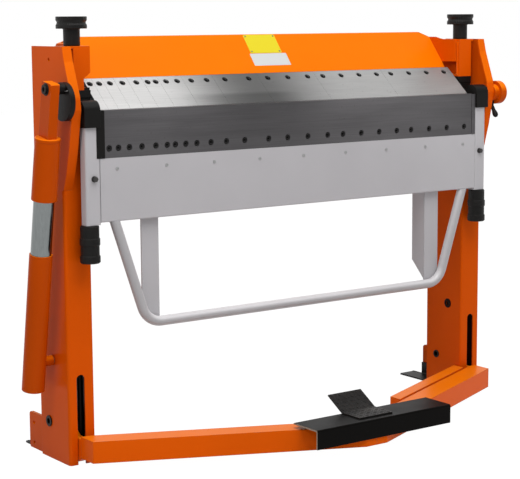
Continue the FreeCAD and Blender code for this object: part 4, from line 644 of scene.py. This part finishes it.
def socket_screw(head_radius, head_height, across, socket_deep):
    """Socket cap screw head standing on Z 0: chamfered rim, and a hexagon socket."""
    shape = bmesh.new()
    sides = 36
    chamfer = head_height * 0.12
    mouth_radius = across / math.sqrt(3) * 1.12
    throat_height = head_height - chamfer * 0.6
    sixth = math.pi / 3

    def circle(radius, height):
        return [(radius, height)] * sides

    def hexagon(height):
        to_flat = [(2 * math.pi * step / sides + sixth / 2) % sixth - sixth / 2 for step in range(sides)]
        return [(across / 2 / math.cos(angle), height) for angle in to_flat]

    rings = []
    for outline in (
        circle(head_radius, 0.0),
        circle(head_radius, head_height - chamfer),
        circle(head_radius - chamfer, head_height),
        circle(mouth_radius, head_height),
        hexagon(throat_height),
        hexagon(head_height - socket_deep),
    ):
        ring = []
        for step, (radius, height) in enumerate(outline):
            angle = 2 * math.pi * step / sides
            ring.append(shape.verts.new((radius * math.cos(angle), radius * math.sin(angle), height)))
        rings.append(ring)
    skin_rings(shape, rings)
    return shape


cap_head = socket_screw(head_radius=0.008, head_height=0.0098, across=0.008, socket_deep=0.005)
cap_screw = to_mesh(cap_head, "socket screw", smooth=35)
cap_screw.materials.append(black_oxide)

FACE_ANGLE = math.radians(41.0)
SEGMENT_SCREW_UP = 0.0965
POCKET_DEEP = 0.012
# segments with more than one screw: how many, and how far the outer ones are from the segment's ends
WIDE_SEGMENT_SCREWS = {
    6: (2, 0.0125), 7: (2, 0.020), 8: (2, 0.025), 9: (2, 0.035),
    10: (3, 0.030), 11: (4, 0.025), 12: (4, 0.030),
}
segment_rise = Vector((0.0, math.cos(FACE_ANGLE), math.sin(FACE_ANGLE)))
segment_out = Vector((0.0, -math.sin(FACE_ANGLE), math.cos(FACE_ANGLE)))


def segment_screw_places():
    """X of each screw along the row of segments, from left to right."""
    for number, segment in enumerate(SEGMENTS, 1):
        low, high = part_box(segment)
        if number not in WIDE_SEGMENT_SCREWS:
            yield (low.x + high.x) / 2
            continue
        count, end = WIDE_SEGMENT_SCREWS[number]
        pitch = (high.x - low.x - 2 * end) / (count - 1)
        for step in range(count):
            yield low.x + end + step * pitch


screw_row = list(segment_screw_places())
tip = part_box(SEGMENTS[0])[0]
for count, x in enumerate(screw_row, 1):
    seat = Vector((x, tip.y, tip.z)) + segment_rise * SEGMENT_SCREW_UP - segment_out * POCKET_DEEP
    set_fastener(f"segment_screw_{count:02d}", cap_screw, seat, segment_out, "clamp_beam")


# Pressure knobs: black moulded hand wheels on the tie rods, with a V groove and a ribbed rim.
# Adjusters: knurled sleeves of the same black under the apron's posts.
def make_knurl():
    """Fine ribs round an upright axis, straight or crossed, as a height."""
    tree, takes = effect(
        "Knurl",
        [("Centre", "Vector", (0.0, 0.0, 0.0)), ("Ribs", "Float", 60.0), ("Slant", "Float", 0.0)],
        [("Height", "Float")],
    )
    from_axis = add(tree, "VectorMath", {0: surface_place(tree), 1: takes["Centre"]}, operation="SUBTRACT")
    parts = split(tree, from_axis.outputs["Vector"])
    angle = maths(tree, "ARCTAN2", parts["Y"], parts["X"])
    lean = maths(tree, "MULTIPLY", parts["Z"], takes["Slant"])
    ways = [maths(tree, "ADD", angle, lean), maths(tree, "SUBTRACT", angle, lean)]
    waves = [maths(tree, "SINE", maths(tree, "MULTIPLY", way, takes["Ribs"])) for way in ways]
    join(tree, Height=maths(tree, "MINIMUM", *waves))
    return tree


knurl = make_knurl()
moulding_black = (0.008, 0.0075, 0.007, 1.0)
moulding_rubbed = (0.03, 0.028, 0.025, 1.0)


def moulded(name, node, ribs, slant, depth):
    """Black moulding with ribs about the node's own upright axis."""
    low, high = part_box(node)
    axis = ((low.x + high.x) / 2, (low.y + high.y) / 2, 0.0)
    material, tree, shader = start_material(name)
    edges = place(tree, edge_rub, Radius=0.0008)
    coat = place(
        tree, sprayed_coat, Paint=moulding_black, Top=moulding_black, Under=moulding_rubbed,
        Rub=edges["Mask"], Mottle=0.12, Gloss=0.38, Skin=1400.0,
    )
    ribbed = place(tree, knurl, Centre=axis, Ribs=ribs, Slant=slant)
    dress(tree, shader, coat["Colour"], coat["Roughness"], ribbed["Height"], depth, edges["Normal"])
    shader.inputs["Specular IOR Level"].default_value = 0.16
    finish_nodes(material, node)


for side in ("_left", "_right"):
    moulded("knob moulding" + side, "clamp_knob" + side, ribs=45.0, slant=0.0, depth=0.0003)
    moulded("adjuster knurl" + side, "adjuster" + side, ribs=36.0, slant=30.0, depth=0.0004)


# Apron: folded steel panel, posts and stiffeners in light grey enamel, and a handle of bent tube with painted
# light that makes it paler on top. Nine small screws along the panel's upper part hold the backing plate.
grey_paint = (0.472, 0.458, 0.476, 1.0)
grey_under = (0.33, 0.33, 0.33, 1.0)
grey_enamel = enamel("light grey enamel", grey_paint, grey_under, gloss=0.36, edge=0.0012)
# the handle's top tone is painted light: its upper side is much paler than the rest
handle_enamel = enamel(
    "handle enamel", (0.43, 0.42, 0.432, 1.0), grey_under, gloss=0.3, edge=0.0012,
    top=(0.70, 0.685, 0.70, 1.0), shine=0.4,
)
finish_nodes(grey_enamel, "apron_panel", *both("post", "handle_stiffener"))
finish_nodes(handle_enamel, "handle")

small_head = socket_screw(head_radius=0.0045, head_height=0.0016, across=0.0045, socket_deep=0.0013)
small_screw = to_mesh(small_head, "small screw", smooth=35)
small_screw.materials.append(drawn_steel)
APRON_SCREWS = 9
APRON_SCREW_PITCH = 0.150
APRON_SCREW_BELOW_TOP = 0.117
apron_low, apron_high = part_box("apron_panel")
apron_middle = (apron_low.x + apron_high.x) / 2
for count in range(APRON_SCREWS):
    x = apron_middle + (count - (APRON_SCREWS - 1) / 2) * APRON_SCREW_PITCH
    seat = Vector((x, apron_low.y, apron_high.z - APRON_SCREW_BELOW_TOP))
    set_fastener(f"apron_screw_{count + 1}", small_screw, seat, FORWARD, "apron")


# Bending bar: thick steel bar, ground and then oiled to a dull dark grey. Black socket screws in pockets hold
# it on the apron, in line with the segments' screws, and a thin end plate covers its joint with each post.
# painted reflection: the bar's tone along its length holds the steel's own tone and the studio's reflection
BAR_TONE_AND_REFLECTION = (
    (0.0, 0.80), (0.14, 0.86), (0.24, 0.77), (0.36, 0.68), (0.47, 0.70),
    (0.56, 0.86), (0.70, 0.97), (0.86, 0.95), (1.0, 0.76),
)
# strength of the painted reflection, and how it grows towards the bar's upper edge
TONE_GAIN, EVEN_TONE, EDGE_GAIN = 1.3, 0.85, 0.7
EDGE_FADE, EDGE_FULL = 0.060, 0.006
bar_low, bar_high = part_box("bending_bar")


def paint_bar_reflection(material):
    """Paints reflection into the bar's colour: brighter to both sides of the middle, most near its upper
    edge.
    """
    tree, shader = shader_of(material)
    place_on = split(tree, surface_place(tree))
    along_tone = maths(tree, "MULTIPLY", tone_along(tree, place_on["X"], BAR_TONE_AND_REFLECTION), TONE_GAIN)
    near_edge = span(tree, place_on["Z"], start=bar_high.z - EDGE_FADE, end=bar_high.z - EDGE_FULL)
    contrast = maths(tree, "MULTIPLY", maths(tree, "SUBTRACT", along_tone, EVEN_TONE), near_edge)
    tone = maths(tree, "MULTIPLY", along_tone, maths(tree, "MULTIPLY_ADD", contrast, EDGE_GAIN, 1.0))
    plain_steel = shader.inputs["Base Color"].links[0].from_socket
    tree.links.new(toned(tree, plain_steel, tone), shader.inputs["Base Color"])


bar_steel = bare_steel(
    "bending bar steel", (0.092, 0.088, 0.092, 1.0), 0.34, lines=(5.0, 420.0, 420.0), metal=0.6,
    clouds=0.16, marks=0.3,
)
# painted reflection along the bar
paint_bar_reflection(bar_steel)
finish_nodes(bar_steel, "bending_bar")

# the left end plate is black like the hinge block over it, and the right one is bare like the bar
END_OVER_LEFT, END_OVER_RIGHT, END_GAP = 0.0105, 0.0002, 0.0004
END_THICK, END_BELOW_TOP, END_ROUNDING = 0.0011, 0.001, 0.001
left_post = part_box("post_left")[1].x - END_OVER_LEFT
right_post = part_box("post_right")[0].x + END_OVER_RIGHT
for side, left, right, finish in (
    ("_left", left_post, bar_low.x - END_GAP, satin_black),
    ("_right", bar_high.x + END_GAP, right_post, bar_steel),
):
    end_face = upright_corners(left, right, bar_low.y, bar_low.z, bar_high.z - END_BELOW_TOP)
    end_mesh = thin_plate("bar end", end_face, FORWARD, END_THICK, END_ROUNDING, finish)
    new_piece("bar_end_plate" + side, end_mesh, "apron")

BAR_SCREW_UP = 0.0248
for count, x in enumerate(screw_row, 1):
    seat = Vector((x, bar_low.y + POCKET_DEEP, bar_low.z + BAR_SCREW_UP))
    set_fastener(f"bar_screw_{count:02d}", cap_screw, seat, FORWARD, "apron")


# Counterbalance strut: orange tube below, a bright chromed tube that slides in it, and an orange sleeve over
# that. A bolt with a washer holds it on the crank, where a clip of bent wire keeps the crank's pin.
chrome_tube = bare_steel(
    "chromed tube", (0.21, 0.225, 0.225, 1.0), 0.10, lines=(300.0, 300.0, 4.0), metal=1.0,
    clouds=0.03, marks=0.05,
)
# this spray also carries painted light on faces that look up
strut_enamel = enamel("deeper orange enamel", (0.53, 0.066, 0.0004, 1.0), dust=0.02, **plate_spray_with_painted_top)
finish_nodes(strut_enamel, "strut_tube", "strut_sleeve")
finish_nodes(chrome_tube, "strut_rod")

BOLT_HEAD_HIGH = 0.007
WASHER = [(0, 0), (0.0158, 0), (0.0158, 0.0016), (0.0150, 0.0024), (0, 0.0024)]
low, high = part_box("strut_bolt")
under_head = Vector((low.x + BOLT_HEAD_HIGH, (low.y + high.y) / 2, (low.z + high.z) / 2))
washer_mesh = to_mesh(turned(WASHER, sides=40), "washer", smooth=30)
washer_mesh.materials.append(satin_black)
set_fastener("strut_washer", washer_mesh, under_head, -ACROSS, "strut_upper")


def bent_wire(points, radius):
    """Round wire through a row of points, with flat cut ends."""
    shape = bmesh.new()
    rings = []
    for count, point in enumerate(points):
        run = points[min(count + 1, len(points) - 1)] - points[max(count - 1, 0)]
        rings.append(round_ring(shape, point, run.to_track_quat("Z", "X").to_matrix(), radius))
    skin_rings(shape, rings)
    return to_mesh(shape, "wire", smooth=60)


WIRE_X, WIRE_RADIUS = -0.7245, 0.0013
WIRE_BENDS = (
    (0.0090, 0.9912), (0.0066, 0.9876), (0.0034, 0.9845), (-0.0006, 0.9821), (-0.0054, 0.9808),
    (-0.0104, 0.9806), (-0.0154, 0.9812), (-0.0204, 0.9822),
)
wire_mesh = bent_wire([Vector((WIRE_X, y, z)) for y, z in WIRE_BENDS], WIRE_RADIUS)
wire_mesh.materials.append(drawn_steel)
new_piece("crank_clip", wire_mesh, "apron")


# Bend angle stop: cast ring in the strut's deeper orange, clamped on the hinge shaft by a black lever.
# The lever is a steel rod with a moulded grip pushed on its end.
finish_nodes(strut_enamel, "angle_stop")

HUB_RADIUS, BALL_RADIUS, HUB_BELOW_TOP = 0.0065, 0.0055, 0.0205
GRIP = [
    (0, 0.003), (0.0046, 0.003), (0.0056, 0.006), (0.0058, 0.019), (0.0076, 0.0255), (0.0084, 0.0320),
    (0.0074, 0.0380), (0.0042, 0.0415), (0, 0.0422),
]
low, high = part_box("stop_lever")
lever_middle = (low.x + high.x) / 2
hub_foot = Vector((lever_middle, high.y - HUB_RADIUS, high.z - HUB_BELOW_TOP))
ball = Vector((lever_middle, low.y + BALL_RADIUS, low.z + BALL_RADIUS))
grip_mesh = to_mesh(turned(GRIP, sides=28), "lever grip", smooth=50)
grip_mesh.materials.append(satin_black)
to_ball = (ball - hub_foot).normalized()
set_fastener("stop_lever_grip", grip_mesh, hub_foot, to_ball, "stop_clamp")


# Pedal: welded V of orange box tube with a flat lever at each end. A folded black guard covers its nose.
# The guard's cut ends and its worn edges show the bare sheet.
# the top tone is painted light: the pedal tubes' faces that look up are lighter
tube_enamel = enamel(
    "orange tube enamel", (0.80, 0.110, 0.0006, 1.0), orange_primer, gloss=0.32, edge=0.0035, top=orange_painted_top_light,
    shine=0.04, dust=0.02,
)
guard_black = enamel(
    "guard black", (0.0035, 0.003, 0.0026, 1.0), (0.40, 0.34, 0.27, 1.0), gloss=0.36, edge=0.0018, wear=0.12,
    cut=0.9, shine=0.04, mottle=0.1, dust=0.006,
)
finish_nodes(tube_enamel, *both("pedal_arm", "pedal_lever"), "pedal_brace")
finish_nodes(guard_black, "pedal_cover")


# Tread: black chequer plate, flat where it is welded on the guard and sloping up behind it.
# Rolled lozenges in alternate directions stand up from both parts.
tread_black = enamel(
    "tread black", (0.012, 0.011, 0.0105, 1.0), (0.10, 0.09, 0.08, 1.0), gloss=0.45, edge=0.001, shine=0.15,
    mottle=0.2, dust=0.09,
)
finish_nodes(tread_black, "pedal_tread")

TREAD_ANGLE = math.radians(31.0)
TREAD_THICK, TREAD_MARGIN, TREAD_BEND = 0.004, 0.002, 0.001
SLOPE_DEEP, FLAT_DEEP = 0.070, 0.072
LOZENGE_LONG, LOZENGE_WIDE, LOZENGE_HIGH, LOZENGE_PITCH = 0.011, 0.0036, 0.0011, 0.0118
LOZENGE_CROWN = 0.6


def chequer(corner, along, wide, deep):
    """Raised lozenges in alternate directions over a rectangle across the tread and along its slope."""
    shape = bmesh.new()
    outward = ACROSS.cross(along)
    columns = int(wide / LOZENGE_PITCH)
    rows = int(deep / LOZENGE_PITCH)
    for column in range(columns):
        for row in range(rows):
            centre = corner + ACROSS * (wide * (column + 0.5) / columns) + along * (deep * (row + 0.5) / rows)
            lean = 1 if (column + row) % 2 else -1
            length = (ACROSS + along * lean).normalized() * LOZENGE_LONG / 2
            width = (ACROSS * lean - along).normalized() * LOZENGE_WIDE / 2
            steps = (length, width, -length, -width)
            top = centre + outward * LOZENGE_HIGH
            foot = [shape.verts.new(centre + step) for step in steps]
            crown = [shape.verts.new(top + step * LOZENGE_CROWN) for step in steps]
            shape.faces.new(crown)
            for side in range(4):
                after = (side + 1) % 4
                shape.faces.new((foot[side], foot[after], crown[after], crown[side]))
    mesh_data = to_mesh(shape, "lozenges")
    mesh_data.materials.append(tread_black)
    return mesh_data


tread_low, tread_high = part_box("pedal_tread")
marked_wide = tread_high.x - tread_low.x - 2 * TREAD_MARGIN
slope_along = Vector((0.0, math.cos(TREAD_ANGLE), math.sin(TREAD_ANGLE)))
rear_top = Vector((tread_low.x, tread_high.y - TREAD_THICK * math.sin(TREAD_ANGLE), tread_high.z))
slope_corner = rear_top - slope_along * (SLOPE_DEEP + TREAD_BEND) + ACROSS * TREAD_MARGIN
slope_marks = chequer(slope_corner, slope_along, marked_wide, SLOPE_DEEP)
new_piece("tread_lozenges_slope", slope_marks, "pedal")
flat_corner = tread_low + Vector((TREAD_MARGIN, TREAD_MARGIN, TREAD_THICK))
flat_marks = chequer(flat_corner, -FORWARD, marked_wide, FLAT_DEEP)
new_piece("tread_lozenges_flat", flat_marks, "pedal")


# Studio: a plain white sweep that the machine stands on, and white walls that are dimmer at the left and
# behind the camera. A wide soft lamp hangs above the operator, a weak one is at the left, and a narrow one
# lights the right end.
WHITE = (1.0, 1.0, 1.0, 1.0)
WHITE_SHARE = 0.9


def studio_floor():
    """A plain floor that fades to white where the camera sees it and keeps a faint shadow."""
    shape = bmesh.new()
    bmesh.ops.create_grid(shape, x_segments=1, y_segments=1, size=14.0)
    material = bpy.data.materials.new("studio floor")
    material.use_nodes = True
    tree = material.node_tree
    tree.nodes.clear()
    matte = add(tree, "BsdfDiffuse", {"Color": (0.74, 0.74, 0.74, 1.0)}).outputs[0]
    white = add(tree, "Emission", {"Color": WHITE, "Strength": 1.1}).outputs[0]
    ray = add(tree, "LightPath").outputs
    seen = maths(tree, "MAXIMUM", ray["Is Camera Ray"], ray["Is Glossy Ray"])
    seen = maths(tree, "MAXIMUM", seen, ray["Is Transmission Ray"])
    white_part = maths(tree, "MULTIPLY", seen, WHITE_SHARE)
    mixed = add(tree, "MixShader", {"Fac": white_part, 1: matte, 2: white}).outputs[0]
    add(tree, "OutputMaterial", {"Surface": mixed})
    floor_mesh = to_mesh(shape, "studio floor")
    floor_mesh.materials.append(material)
    floor = bpy.data.objects.new("studio_floor", floor_mesh)
    bpy.context.scene.collection.objects.link(floor)


def studio_walls():
    """White walls. They give less light from the left, and metal mirrors a dimmer room behind the camera."""
    world = bpy.data.worlds.new("studio")
    bpy.context.scene.world = world
    world.use_nodes = True
    tree = world.node_tree
    tree.nodes.clear()
    ray = add(tree, "LightPath").outputs
    looks = split(tree, add(tree, "TexCoord").outputs["Generated"])
    lighting = span(tree, looks["X"], start=-0.8, end=0.4, low=0.24, high=0.62)
    mirrored = span(tree, looks["Y"], start=-0.7, end=0.3, low=0.38, high=1.0)
    shiny = maths(tree, "MAXIMUM", ray["Is Glossy Ray"], ray["Is Transmission Ray"])
    unseen = add(tree, "Mix", {"Factor": shiny, "A": lighting, "B": mirrored}, data_type="FLOAT").outputs[0]
    direct = ray["Is Camera Ray"]
    level = add(tree, "Mix", {"Factor": direct, "A": unseen, "B": 1.0}, data_type="FLOAT").outputs[0]
    background = add(tree, "Background", {"Color": WHITE, "Strength": level}).outputs[0]
    add(tree, "OutputWorld", {"Surface": background})


def hang_lamp(lamp_data, energy, place_at, aim):
    """Hangs a lamp at a place and turns it to what it lights."""
    lamp_data.energy = energy
    lamp = bpy.data.objects.new(lamp_data.name, lamp_data)
    lamp.location = place_at
    lamp.rotation_euler = (Vector(aim) - lamp.location).to_track_quat("-Z", "Y").to_euler()
    bpy.context.scene.collection.objects.link(lamp)


def soft_box(name, size, energy, place_at, aim):
    """A square soft lamp."""
    lamp_data = bpy.data.lights.new(name, "AREA")
    lamp_data.shape = "SQUARE"
    lamp_data.size = size
    hang_lamp(lamp_data, energy, place_at, aim)


studio_floor()
studio_walls()
soft_box("soft_lamp", size=2.6, energy=82.0, place_at=(-0.3, -1.6, 3.6), aim=(0.0, 0.0, 0.7))
soft_box("side_lamp", size=0.6, energy=5.6, place_at=(-1.75, -0.3, 1.6), aim=(-0.7, 0.05, 1.0))
end_lamp = bpy.data.lights.new("end_lamp", "SPOT")
end_lamp.spot_size = math.radians(19)
end_lamp.spot_blend = 1.0
end_lamp.shadow_soft_size = 0.25
hang_lamp(end_lamp, energy=50.0, place_at=(-0.7, -1.2, 1.4), aim=(0.74, 0.03, 0.95))
bpy.context.scene.view_settings.view_transform = "Standard"


# Camera: where the photographer stood, in front of the machine's left end and level with the knobs.
# Its place, its three turns and its long lens were fitted to the machine's corners in the photograph.
CAMERA_PLACE = Vector((-2.5915, -3.4462, 1.1558))
CAMERA_YAW = math.radians(35.590)
CAMERA_PITCH = math.radians(8.087)
CAMERA_ROLL = math.radians(-0.412)
level_ahead = Vector((math.sin(CAMERA_YAW), math.cos(CAMERA_YAW), 0.0))
ahead = level_ahead * math.cos(CAMERA_PITCH) - Vector((0.0, 0.0, math.sin(CAMERA_PITCH)))
rightward = Vector((math.cos(CAMERA_YAW), -math.sin(CAMERA_YAW), 0.0))
upright = rightward.cross(ahead)
camera_x = rightward * math.cos(CAMERA_ROLL) + upright * math.sin(CAMERA_ROLL)
camera_y = upright * math.cos(CAMERA_ROLL) - rightward * math.sin(CAMERA_ROLL)
camera = bpy.data.objects.new("camera", bpy.data.cameras.new("camera"))
camera.data.sensor_width = 36.0
camera.data.lens = 107.59
camera.data.clip_end = 60.0
camera_turn = Matrix((camera_x, camera_y, -ahead)).transposed().to_4x4()
camera.matrix_world = Matrix.Translation(CAMERA_PLACE) @ camera_turn
bpy.context.scene.collection.objects.link(camera)
bpy.context.scene.camera = camera
